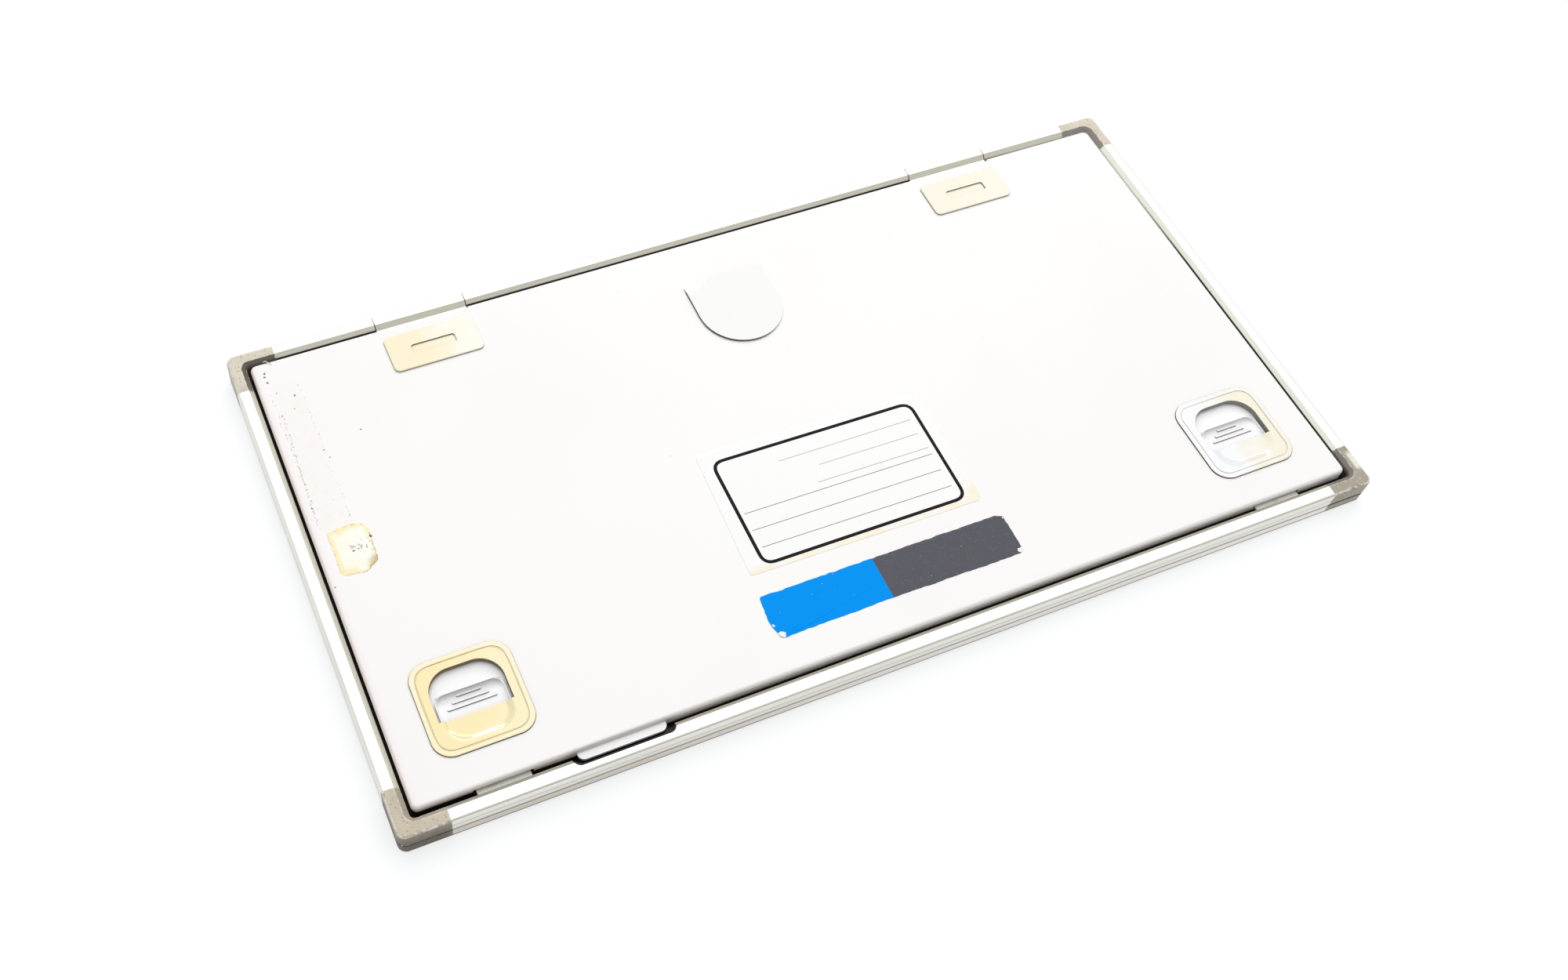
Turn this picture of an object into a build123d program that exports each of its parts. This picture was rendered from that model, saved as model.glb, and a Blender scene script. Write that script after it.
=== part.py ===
# Hinged-lid film cassette: a shallow tray of extruded rails and moulded corners,
# and a sheet-metal lid that hinges on the rear rail and latches under the front rail.
# Millimetres. X runs along the long side, +Y from the latches to the hinge, +Z up,
# the tray's resting face lies on Z = 0 and the lid is uppermost.
import os
from math import cos, radians, sin, sqrt

from build123d import *

# ---- film format and outer size -------------------------------------------------
film_length = 400.0
film_width = 200.0
rail_border = 14.0          # from the film's edge to the outer face of a rail
rail_height = 13.6
slip = 0.05                 # sliding or seated clearance between parts of one body
running = 0.3               # clearance between parts that move past each other

# ---- rail extrusion, measured inwards from its outer face (u) and upwards (z) ----
flat_top_width = 4.9
slope_drop = 2.0            # 45 degree inner chamfer at the top
outer_edge_radius = 1.4
foot_chamfer = 1.0
lip_width = 9.0
lip_thickness = 0.8
ledge_top = 4.4
fence_inset = 13.0          # inner face of the film fence
fence_thickness = 1.2
fence_top = 6.0
strike_depth = 1.5          # undercut that the latch bolts enter
parting_line_z = 5.9        # V groove round the outside
parting_line_depth = 0.6
fine_line_z = 9.5           # shallow drawn line above it, on the extrusions only
fine_line_depth = 0.25
chamber_inset = 1.6
chamber_width = 3.3
chamber_bottom = 4.4
chamber_height = 3.4

# ---- hinge ------------------------------------------------------------------------
pin_radius = 1.25
pin_clearance = 0.05
pin_inset = 3.4             # pin axis from the rear face
pin_height = 10.6
pin_grip = 8.0              # length held in the rail at each end
hinge_inset = 84.0          # hinge centres from the ends
hinge_width = 40.2
hinge_side_gap = 0.4
knuckle_radius = 4.3
leaf_thickness = 1.5
leaf_reach = 32.0
arm_bottom = 9.6
arm_reach = 12.0
skirt_root = 9.0

# ---- corners ------------------------------------------------------------------------
corner_leg = 20.0
corner_radius = 3.6
corner_inner_radius = 2.0
tongue_length = 10.0

# ---- tray contents ------------------------------------------------------------------
panel_thickness = 1.8
panel_slot_inset = 3.0
panel_edge_gap = 0.2
screen_thickness = 0.4
screen_gap = 0.3            # room for the film between the two screens
seal_height = 1.0
seal_edge_gap = 0.2

# ---- lid ----------------------------------------------------------------------------
skin_thickness = 1.2
lid_rise = 0.3              # lid above the rail tops
lid_inset = 8.2             # flange faces from the rails' outer faces
lid_front_inset = 9.0
lid_edge_radius = 1.5
lid_corner_radius = 2.6
flange_bottom = 5.7
back_screen_margin = 1.0    # back screen inside the front screen
foam_margin = 2.0           # foam and plate inside the front screen
lead_thickness = 0.2
plate_thickness = 0.8
plate_top = 9.0
standoff_radius = 6.0
standoff_taper = 25.0
standoff_columns = 3
standoff_rows = 2

# ---- plates and caps on the lid -----------------------------------------------------
cap_side_margin = 0.3       # cap inside the hinge block's ends
cap_width = 18.8
cap_thickness = 0.9
cap_radius = 2.5
cap_inset = 23.4            # centre line from the rear face
cap_slot_length = 19.4
cap_slot_width = 4.8
cap_slot_depth = 0.6
cap_slot_shift = -0.2
cap_slot_radius = 1.2
cap_edge_radius = 0.3
hinge_screw_spacing = 28.0
hinge_screw_radius = 1.25
hinge_screw_head_radius = 2.4
hinge_screw_head_height = 1.1

emboss_radius = 19.0        # D-shaped pressing near the hinge side
emboss_rise = 1.0
emboss_x = 1.3
emboss_inset = 32.0         # its straight side from the rear face
emboss_length = 37.0        # from the straight side to the tip of the round end
emboss_ramp = 3.5
emboss_wall = 1.0

# ---- latches ------------------------------------------------------------------------
latch_inset = 42.8          # latch centres from the ends and from the front face
bezel_size = 40.4
bezel_radius = 8.0
bezel_rise = 0.7
bezel_skirt_size = 36.0
bezel_skirt_radius = 6.0
window_width = 29.4
window_rear_reach = 14.8    # window edges from the latch's centre
window_front_reach = 5.5
window_radius = 10.0
rim_inset = 2.2
rim_line_width = 0.3
rim_line_depth = 0.2
scoop_width = 29.0
scoop_length = 12.0         # from the window's front edge
scoop_radius = 9.5
scoop_side_slope = 4.0      # width of its S-shaped wall at the sides and in front
scoop_front_slope = 5.4
scoop_depth = 1.2
hollow_levels = 4           # steps between the sections that a hollow's wall is lofted through
bezel_edge_radius = 0.5
bolt_width = 21.0
bolt_slot_gap = 1.2
bolt_slot_height = 3.0
bolt_lead_in = 0.5
bolt_thickness = 1.0
bolt_bottom = 9.2
bolt_tip_gap = 0.3          # bolt tip to the rail's wall when unlatched
bolt_tail_inset = 4.0       # from the rear edge of the slide
bolt_body_width = 30.0
bolt_shoulder_reach = 3.7   # from the front edge of the slide
slide_thickness = 1.7
slide_width = 32.6
lock_travel = 1.4
open_travel = 4.5
slide_overlap = 1.0
knob_height = 0.9
knob_side_gap = 1.0         # to the window's sides
knob_rear_gap = 8.8         # from the window's rear edge
knob_under_bezel = 3.2
knob_radius = 5.0
knob_rim_width = 0.4
dish_depth = 1.3            # thumb dish inside the rim
dish_slope = 2.5            # width of its curved wall
ridge_rows = ((2.0, 9.8), (4.4, 14.6), (6.6, 19.4))  # from the knob's rear edge, length
ridge_width = 0.8
ridge_height = 0.5
bolt_screw_grip = 1.0       # length of screw inside the slide
bolt_screw_radius = 1.0
bolt_screw_head_radius = 1.8
bolt_screw_spacing = 12.0
guide_width = 2.4
spring_thickness = 0.3
spring_length = 20.0
spring_height = 0.9

# ---- lift tab -----------------------------------------------------------------------
tab_inset = 89.0            # centre from the left end
tab_width = 35.4
tab_reach = 3.2
tab_thickness = 1.3
tab_top = 11.2
tab_radius = 2.6
tab_root_extra = 4.0
tab_root_depth = 2.2
tab_root_lip = 0.6
finger_notch_width = 40.0
finger_notch_inset = 3.6    # rail left outside the notch
finger_notch_floor = 8.4
finger_notch_radius = 3.0

# ---- derived ------------------------------------------------------------------------
outer_length = film_length + 2 * rail_border
outer_width = film_width + 2 * rail_border
half_x = outer_length / 2
half_y = outer_width / 2
wall_inset = flat_top_width + slope_drop
slope_bottom = rail_height - slope_drop
panel_bottom = lip_thickness
panel_top = panel_bottom + panel_thickness
front_screen_top = panel_top + screen_thickness
back_screen_bottom = front_screen_top + screen_gap
back_screen_top = back_screen_bottom + screen_thickness
plate_bottom = plate_top - plate_thickness
lead_bottom = plate_bottom - lead_thickness
lid_top = rail_height + lid_rise
skin_bottom = lid_top - skin_thickness
pin_y = half_y - pin_inset
hinge_x = half_x - hinge_inset
cap_length = hinge_width - 2 * cap_side_margin
hinge_notch_floor = pin_height - knuckle_radius - 2 * running
hinge_notch_depth = wall_inset + running
cap_y = half_y - cap_inset
emboss_back = half_y - emboss_inset
emboss_front = emboss_back - emboss_length
tab_x = -half_x + tab_inset
latch_x = half_x - latch_inset
latch_y = -half_y + latch_inset
window_back = latch_y + window_rear_reach
window_front = latch_y - window_front_reach
knob_width = window_width - 2 * knob_side_gap
bore_radius = pin_radius + pin_clearance
flange_front_y = -half_y + lid_front_inset
flange_rear_y = half_y - lid_inset
flange_side_x = half_x - lid_inset
lid_flat_inset = lid_inset + lid_edge_radius
bolt_top = bolt_bottom + bolt_thickness
strike_bottom = bolt_bottom - running
strike_top = bolt_top + running
bolt_slot_top = strike_bottom + bolt_slot_height
slide_top = bolt_top + slide_thickness
bezel_top = lid_top + bezel_rise
bezel_bottom = slide_top + running
bolt_tip_y = -half_y + wall_inset + bolt_tip_gap
from_corner = (Align.MIN, Align.MIN)
on_base = (Align.CENTER, Align.CENTER, Align.MIN)
from_edge = (Align.CENTER, Align.MIN, Align.MIN)

os.makedirs("parts", exist_ok=True)


def save(piece, label):
    piece.part.label = label
    export_step(piece.part, f"parts/{label}.step")


def bowl_wall(depth, slope):
    """Depth and inset of the sections of a quarter-ellipse wall, from its rim to its floor."""
    slants = [radians(90 * level / hollow_levels) for level in range(hollow_levels + 1)]
    return [(depth * sin(slant), slope * (1 - cos(slant))) for slant in slants]


def eased_wall(depth):
    """Depth and share of the slope at the sections of an S-shaped wall, from its rim to its floor."""
    shares = [level / hollow_levels for level in range(hollow_levels + 1)]
    return [(depth * (1 - cos(radians(180 * share))) / 2, share) for share in shares]


def rail_section(plane, hollow, reach=fence_inset):
    """Rail profile up to a reach from the outer face: u along the plane's x, height along its y."""
    with BuildSketch(plane) as section:
        with BuildLine():
            Polyline((0, 0), (wall_inset, 0), (wall_inset, slope_bottom),
                     (flat_top_width, rail_height), (0, rail_height), close=True)
        make_face()
        top_edge = section.vertices().sort_by_distance((0, rail_height))[0]
        fillet(top_edge, outer_edge_radius)
        foot_edge = section.vertices().sort_by_distance((0, 0))[0]
        chamfer(foot_edge, foot_chamfer)
        with Locations((foot_chamfer, 0)):
            Rectangle(lip_width - foot_chamfer, lip_thickness - slip, align=from_corner)
        with Locations((panel_slot_inset, panel_top + slip)):
            Rectangle(fence_inset - panel_slot_inset, ledge_top - panel_top - slip, align=from_corner)
        with Locations((fence_inset - fence_thickness, panel_top + slip)):
            Rectangle(fence_thickness, fence_top - panel_top - slip, align=from_corner)
        with Locations((panel_slot_inset, panel_bottom - slip)):
            Rectangle(fence_inset, panel_thickness + 2 * slip, align=from_corner, mode=Mode.SUBTRACT)
        with Locations((wall_inset - strike_depth, strike_bottom)):
            Rectangle(strike_depth, strike_top - strike_bottom, align=from_corner, mode=Mode.SUBTRACT)
        with Locations((0, parting_line_z)):
            groove_side = parting_line_depth * sqrt(2)
            Rectangle(groove_side, groove_side, rotation=45, mode=Mode.SUBTRACT)
        if hollow:
            with Locations((0, fine_line_z)):
                line_side = fine_line_depth * sqrt(2)
                Rectangle(line_side, line_side, rotation=45, mode=Mode.SUBTRACT)
            with Locations((pin_inset, pin_height)):
                Circle(bore_radius, mode=Mode.SUBTRACT)
            with Locations((chamber_inset, chamber_bottom)):
                Rectangle(chamber_width, chamber_height, align=from_corner, mode=Mode.SUBTRACT)
        Rectangle(reach, rail_height, align=from_corner, mode=Mode.INTERSECT)
    return section.sketch


# ======================= tray =========================================================
# Section planes: local x runs inwards from the outer face, local y is up.
front_plane = Plane(origin=(-half_x + corner_leg, -half_y, 0), x_dir=(0, 1, 0), z_dir=(1, 0, 0))
rear_plane = Plane(origin=(half_x - corner_leg, half_y, 0), x_dir=(0, -1, 0), z_dir=(-1, 0, 0))
left_plane = Plane(origin=(-half_x, half_y - corner_leg, 0), x_dir=(1, 0, 0), z_dir=(0, -1, 0))
right_plane = Plane(origin=(half_x, -half_y + corner_leg, 0), x_dir=(-1, 0, 0), z_dir=(0, 1, 0))
long_rail = outer_length - 2 * corner_leg
short_rail = outer_width - 2 * corner_leg

with BuildPart() as rail_front:
    extrude(rail_section(front_plane, True), amount=long_rail)
    # finger notch in the inner top edge, round the lift tab
    with BuildSketch(Plane.XY.offset(finger_notch_floor)) as notch:
        with Locations((tab_x, -half_y + finger_notch_inset)):
            Rectangle(finger_notch_width, wall_inset, align=(Align.CENTER, Align.MIN))
        fillet(notch.vertices().group_by(Axis.Y)[0], finger_notch_radius)
    extrude(amount=rail_height, mode=Mode.SUBTRACT)
save(rail_front, "rail_front")

with BuildPart() as rail_rear:
    extrude(rail_section(rear_plane, True), amount=long_rail)
    # notches that the hinge blocks fill
    notch_width = hinge_width + 2 * hinge_side_gap
    with Locations(*[(side * hinge_x, half_y - hinge_notch_depth, hinge_notch_floor) for side in (-1, 1)]):
        Box(notch_width, rail_height, rail_height,
            align=from_edge, mode=Mode.SUBTRACT)
save(rail_rear, "rail_rear")

with BuildPart() as rail_left:
    extrude(rail_section(left_plane, True), amount=short_rail)
save(rail_left, "rail_left")

with BuildPart() as rail_right:
    extrude(rail_section(right_plane, True), amount=short_rail)
save(rail_right, "rail_right")

# One moulded corner: two mitred legs, the outer edge turned round, tongues for the rails.
corner_x, corner_y = -half_x, -half_y
leg_plane = Plane(origin=(corner_x, corner_y, 0), x_dir=(0, 1, 0), z_dir=(1, 0, 0))
turn_plane = Plane(origin=(corner_x + corner_radius, corner_y, 0), x_dir=(0, 1, 0), z_dir=(1, 0, 0))
turn_axis = Axis((corner_x + corner_radius, corner_y + corner_radius, 0), (0, 0, -1))
mitre = Plane(origin=(corner_x, corner_y, 0), z_dir=(1, -1, 0))

with BuildPart() as corner_leg_x:
    extrude(rail_section(leg_plane, False), amount=corner_leg)
    with BuildSketch():
        with BuildLine():
            Polyline((corner_x + corner_radius, corner_y),
                     (corner_x + corner_leg, corner_y),
                     (corner_x + corner_leg, corner_y + corner_leg),
                     (corner_x + corner_radius, corner_y + corner_radius), close=True)
        make_face()
    extrude(amount=rail_height, mode=Mode.INTERSECT)
    # chamber tongue and round peg
    tongue_start = corner_x + corner_leg
    with Locations((tongue_start, corner_y + chamber_inset + slip, chamber_bottom + slip)):
        Box(tongue_length, chamber_width - 2 * slip, chamber_height - 2 * slip,
            align=(Align.MIN, Align.MIN, Align.MIN))
    with BuildSketch(Plane(origin=(tongue_start, corner_y + pin_inset, pin_height),
                           x_dir=(0, 1, 0), z_dir=(1, 0, 0))):
        Circle(pin_radius)
    extrude(amount=tongue_length)

with BuildPart() as corner_front_left:
    add(corner_leg_x.part)
    mirror(corner_leg_x.part, about=mitre)
    revolve(rail_section(turn_plane, False, corner_radius), axis=turn_axis, revolution_arc=90)
    # inner corner of wall and slope, rounded above the seals: a block less a cylinder and a cone
    round_inset = wall_inset + corner_inner_radius
    block_side = round_inset - flat_top_width
    with BuildPart(mode=Mode.PRIVATE) as inner_round:
        with Locations((corner_x + flat_top_width, corner_y + flat_top_width, fence_top)):
            Box(block_side, block_side, rail_height - fence_top, align=(Align.MIN, Align.MIN, Align.MIN))
        with Locations((corner_x + round_inset, corner_y + round_inset, fence_top)):
            Cylinder(corner_inner_radius, slope_bottom - fence_top, align=on_base, mode=Mode.SUBTRACT)
        with Locations((corner_x + round_inset, corner_y + round_inset, slope_bottom)):
            Cone(corner_inner_radius, corner_inner_radius + slope_drop, slope_drop,
                 align=on_base, mode=Mode.SUBTRACT)
    add(inner_round.part)
save(corner_front_left, "corner_front_left")

with BuildPart() as corner_front_right:
    mirror(corner_front_left.part, about=Plane.YZ)
save(corner_front_right, "corner_front_right")

with BuildPart() as corner_rear_left:
    mirror(corner_front_left.part, about=Plane.XZ)
save(corner_rear_left, "corner_rear_left")

with BuildPart() as corner_rear_right:
    mirror(corner_front_right.part, about=Plane.XZ)
save(corner_rear_right, "corner_rear_right")

with BuildPart() as tube_panel:
    panel_inset = panel_slot_inset + panel_edge_gap
    with Locations((0, 0, panel_bottom)):
        Box(outer_length - 2 * panel_inset, outer_width - 2 * panel_inset, panel_thickness, align=on_base)
save(tube_panel, "tube_panel")

with BuildPart() as front_screen:
    with Locations((0, 0, panel_top)):
        Box(film_length, film_width, screen_thickness, align=on_base)
save(front_screen, "front_screen")

# Light-seal strips on the floor of the groove between wall and fence.
seal_outer = wall_inset + seal_edge_gap
seal_width = fence_inset - fence_thickness - seal_edge_gap - seal_outer
for side, name in ((-1, "front"), (1, "rear")):
    with BuildPart() as seal_long:
        with Locations((0, side * (half_y - seal_outer - seal_width / 2), ledge_top)):
            Box(outer_length - 2 * seal_outer, seal_width, seal_height, align=on_base)
    save(seal_long, f"seal_{name}")
for side, name in ((-1, "left"), (1, "right")):
    with BuildPart() as seal_short:
        with Locations((side * (half_x - seal_outer - seal_width / 2), 0, ledge_top)):
            Box(seal_width, outer_width - 2 * (seal_outer + seal_width + slip), seal_height, align=on_base)
    save(seal_short, f"seal_{name}")

# ======================= lid ==========================================================
lid_length = 2 * flange_side_x
lid_width = flange_rear_y - flange_front_y
lid_centre_y = (flange_rear_y + flange_front_y) / 2
hinge_cut_y = half_y - lid_flat_inset - slip

with BuildPart() as lid_pan:
    with BuildSketch(Plane.XY.offset(flange_bottom)):
        with Locations((0, lid_centre_y)):
            RectangleRounded(lid_length, lid_width, lid_corner_radius)
    extrude(amount=lid_top - flange_bottom)
    fillet(lid_pan.faces().sort_by(Axis.Z)[-1].edges(), lid_edge_radius)
    with BuildSketch(Plane.XY.offset(flange_bottom)):
        with Locations((0, lid_centre_y)):
            RectangleRounded(lid_length - 2 * skin_thickness, lid_width - 2 * skin_thickness,
                             lid_corner_radius - skin_thickness)
    extrude(amount=skin_bottom - flange_bottom, mode=Mode.SUBTRACT)
    # rear edge cut away where the hinge blocks come through
    with Locations(*[(side * hinge_x, hinge_cut_y, flange_bottom) for side in (-1, 1)]):
        Box(hinge_width + 2 * slip, half_y, rail_height,
            align=from_edge, mode=Mode.SUBTRACT)
    # bolt slots in the front flange
    with Locations(*[(side * latch_x, flange_front_y, strike_bottom) for side in (-1, 1)]):
        Box(bolt_width + 2 * bolt_slot_gap, 4 * skin_thickness, bolt_slot_top - strike_bottom,
            align=on_base, mode=Mode.SUBTRACT)
    # lift tab slot
    with Locations((tab_x, flange_front_y, tab_top - tab_thickness - slip)):
        Box(tab_width + 2 * slip, 4 * skin_thickness, tab_thickness + 2 * slip,
            align=on_base, mode=Mode.SUBTRACT)
    # openings for the latch bezels
    with BuildSketch(Plane.XY.offset(skin_bottom)):
        with Locations((-latch_x, latch_y), (latch_x, latch_y)):
            RectangleRounded(bezel_skirt_size + 2 * slip, bezel_skirt_size + 2 * slip, bezel_skirt_radius)
    extrude(amount=2 * skin_thickness, mode=Mode.SUBTRACT)
    # screw holes under the hinge caps
    with BuildSketch(Plane.XY.offset(skin_bottom)):
        with Locations(*[(side * hinge_x, cap_y) for side in (-1, 1)]):
            with GridLocations(hinge_screw_spacing, 0, 2, 1):
                Circle(hinge_screw_radius + slip)
    extrude(amount=skin_thickness, mode=Mode.SUBTRACT)
    # D-shaped pressing with a ramp towards the hinge
    with BuildSketch(Plane.XY.offset(lid_top)):
        with Locations((emboss_x, emboss_front + emboss_radius)):
            Circle(emboss_radius)
            Rectangle(2 * emboss_radius, emboss_back - emboss_front - emboss_radius,
                      align=(Align.CENTER, Align.MIN))
    extrude(amount=emboss_rise)
    emboss_back_edge = lid_pan.edges().filter_by(Axis.X).group_by(Axis.Z)[-1].sort_by(Axis.Y)[-1]
    chamfer(emboss_back_edge, emboss_ramp, emboss_rise - slip,
            reference=lid_pan.faces().sort_by(Axis.Z)[-1])
    with BuildSketch(Plane.XY.offset(skin_bottom)):
        with Locations((emboss_x, emboss_front + emboss_radius)):
            Circle(emboss_radius - emboss_wall)
            Rectangle(2 * (emboss_radius - emboss_wall),
                      emboss_back - emboss_front - emboss_radius - emboss_ramp,
                      align=(Align.CENTER, Align.MIN))
    extrude(amount=emboss_rise, mode=Mode.SUBTRACT)
save(lid_pan, "lid_pan")

plate_length = film_length - 2 * foam_margin
plate_width = film_width - 2 * foam_margin

with BuildPart() as pressure_plate:
    with Locations((0, 0, plate_bottom)):
        Box(plate_length, plate_width, plate_thickness, align=on_base)
    # pressed stand-offs up to the skin
    with BuildSketch(Plane.XY.offset(plate_top)):
        with GridLocations(plate_length / (standoff_columns + 1), plate_width / (standoff_rows + 1),
                           standoff_columns, standoff_rows):
            Circle(standoff_radius)
    extrude(amount=skin_bottom - plate_top, taper=standoff_taper)
save(pressure_plate, "pressure_plate")

with BuildPart() as lead_foil:
    with Locations((0, 0, lead_bottom)):
        Box(plate_length, plate_width, lead_thickness, align=on_base)
save(lead_foil, "lead_foil")

with BuildPart() as pressure_foam:
    with Locations((0, 0, back_screen_top)):
        Box(plate_length, plate_width, lead_bottom - back_screen_top, align=on_base)
save(pressure_foam, "pressure_foam")

with BuildPart() as back_screen:
    with Locations((0, 0, back_screen_bottom)):
        Box(film_length - 2 * back_screen_margin, film_width - 2 * back_screen_margin,
            screen_thickness, align=on_base)
save(back_screen, "back_screen")

with BuildPart() as lift_tab:
    tab_bottom = tab_top - tab_thickness
    with BuildSketch(Plane.XY.offset(tab_bottom)) as blade:
        with Locations((tab_x, flange_front_y - tab_reach)):
            Rectangle(tab_width, tab_reach + skin_thickness + slip, align=(Align.CENTER, Align.MIN))
        fillet(blade.vertices().group_by(Axis.Y)[0], tab_radius)
    extrude(amount=tab_thickness)
    with Locations((tab_x, flange_front_y + skin_thickness + slip, tab_bottom - tab_root_lip)):
        Box(tab_width + tab_root_extra, tab_root_depth, tab_thickness + 2 * tab_root_lip,
            align=from_edge)
save(lift_tab, "lift_tab")

# ======================= hinges =======================================================
leaf_start = lid_flat_inset + 2 * slip
leaf_bottom = skin_bottom - leaf_thickness
skirt_inner = lid_inset + skin_thickness
cap_bottom = lid_top
screw_top = cap_bottom + cap_thickness - cap_slot_depth

for side, name in ((-1, "left"), (1, "right")):
    block_plane = Plane(origin=(side * hinge_x + hinge_width / 2, half_y, 0),
                        x_dir=(0, -1, 0), z_dir=(-1, 0, 0))
    with BuildPart() as hinge_block:
        with BuildSketch(block_plane) as block_section:
            # round underside of the knuckle
            with Locations((pin_inset, pin_height)):
                Circle(knuckle_radius)
                Rectangle(2 * knuckle_radius, knuckle_radius,
                          align=(Align.CENTER, Align.MIN), mode=Mode.SUBTRACT)
            Rectangle(knuckle_radius, rail_height, align=(Align.MAX, Align.MIN), mode=Mode.SUBTRACT)
            # rail-shaped top, arm, light skirt and leaf
            with BuildLine():
                Polyline((0, pin_height), (0, rail_height), (flat_top_width, rail_height),
                         (wall_inset, slope_bottom), (leaf_start, slope_bottom),
                         (leaf_start, skin_bottom), (leaf_reach, skin_bottom),
                         (leaf_reach, leaf_bottom), (arm_reach, leaf_bottom),
                         (arm_reach, arm_bottom), (skirt_inner, arm_bottom),
                         (skirt_inner, flange_bottom), (lid_inset, flange_bottom),
                         (lid_inset, skirt_root), (pin_inset, skirt_root),
                         (pin_inset, pin_height), close=True)
            make_face()
            outer_edge = block_section.vertices().sort_by_distance((0, rail_height))[0]
            fillet(outer_edge, outer_edge_radius)
            with Locations((pin_inset, pin_height)):
                Circle(bore_radius, mode=Mode.SUBTRACT)
        extrude(amount=hinge_width)
        with BuildSketch(Plane.XY.offset(leaf_bottom)):
            with Locations((side * hinge_x, cap_y)):
                with GridLocations(hinge_screw_spacing, 0, 2, 1):
                    Circle(hinge_screw_radius + slip)
        extrude(amount=leaf_thickness, mode=Mode.SUBTRACT)
    save(hinge_block, f"hinge_block_{name}")

    with BuildPart() as hinge_pin:
        with BuildSketch(Plane(origin=(side * hinge_x, pin_y, pin_height), z_dir=(1, 0, 0))):
            Circle(pin_radius)
        extrude(amount=hinge_width / 2 + hinge_side_gap + pin_grip, both=True)
    save(hinge_pin, f"hinge_pin_{name}")

    with BuildPart() as hinge_cap:
        with BuildSketch(Plane.XY.offset(cap_bottom)):
            with Locations((side * hinge_x, cap_y)):
                RectangleRounded(cap_length, cap_width, cap_radius)
        extrude(amount=cap_thickness)
        fillet(hinge_cap.faces().sort_by(Axis.Z)[-1].edges(), cap_edge_radius)
        with BuildSketch(Plane.XY.offset(cap_bottom + cap_thickness)):
            with Locations((side * hinge_x, cap_y + cap_slot_shift)):
                RectangleRounded(cap_slot_length, cap_slot_width, cap_slot_radius)
        extrude(amount=-cap_slot_depth, mode=Mode.SUBTRACT)
        with BuildSketch(Plane.XY.offset(cap_bottom)):
            with Locations((side * hinge_x, cap_y)):
                with GridLocations(hinge_screw_spacing, 0, 2, 1):
                    Circle(hinge_screw_radius + slip)
        extrude(amount=screw_top + slip - cap_bottom, mode=Mode.SUBTRACT)
    save(hinge_cap, f"hinge_cap_{name}")

    with BuildPart() as hinge_screws:
        with BuildSketch(Plane.XY.offset(leaf_bottom)):
            with Locations((side * hinge_x, cap_y)):
                with GridLocations(hinge_screw_spacing, 0, 2, 1):
                    Circle(hinge_screw_radius)
        extrude(amount=screw_top - leaf_bottom)
        with BuildSketch(Plane.XY.offset(leaf_bottom)):
            with Locations((side * hinge_x, cap_y)):
                with GridLocations(hinge_screw_spacing, 0, 2, 1):
                    Circle(hinge_screw_head_radius)
        extrude(amount=-hinge_screw_head_height)
    save(hinge_screws, f"hinge_screws_{name}")

# ======================= latches ======================================================
slide_front = window_front - open_travel - slide_overlap
slide_back = window_back + lock_travel + slide_overlap
bolt_tail = slide_back - bolt_tail_inset
bolt_shoulder = slide_front - bolt_shoulder_reach
knob_back = window_back - knob_rear_gap
knob_top = slide_top + knob_height
knob_front = window_front - knob_under_bezel
pocket_front = knob_front - lock_travel - running
pocket_top = knob_top + running
guide_inner = slide_width / 2 + running
guide_front = slide_front - lock_travel
guide_back = slide_back + open_travel + running
bolt_screw_y = (knob_back + knob_front) / 2
spring_y = (bolt_shoulder + bolt_tail) / 2

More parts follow.
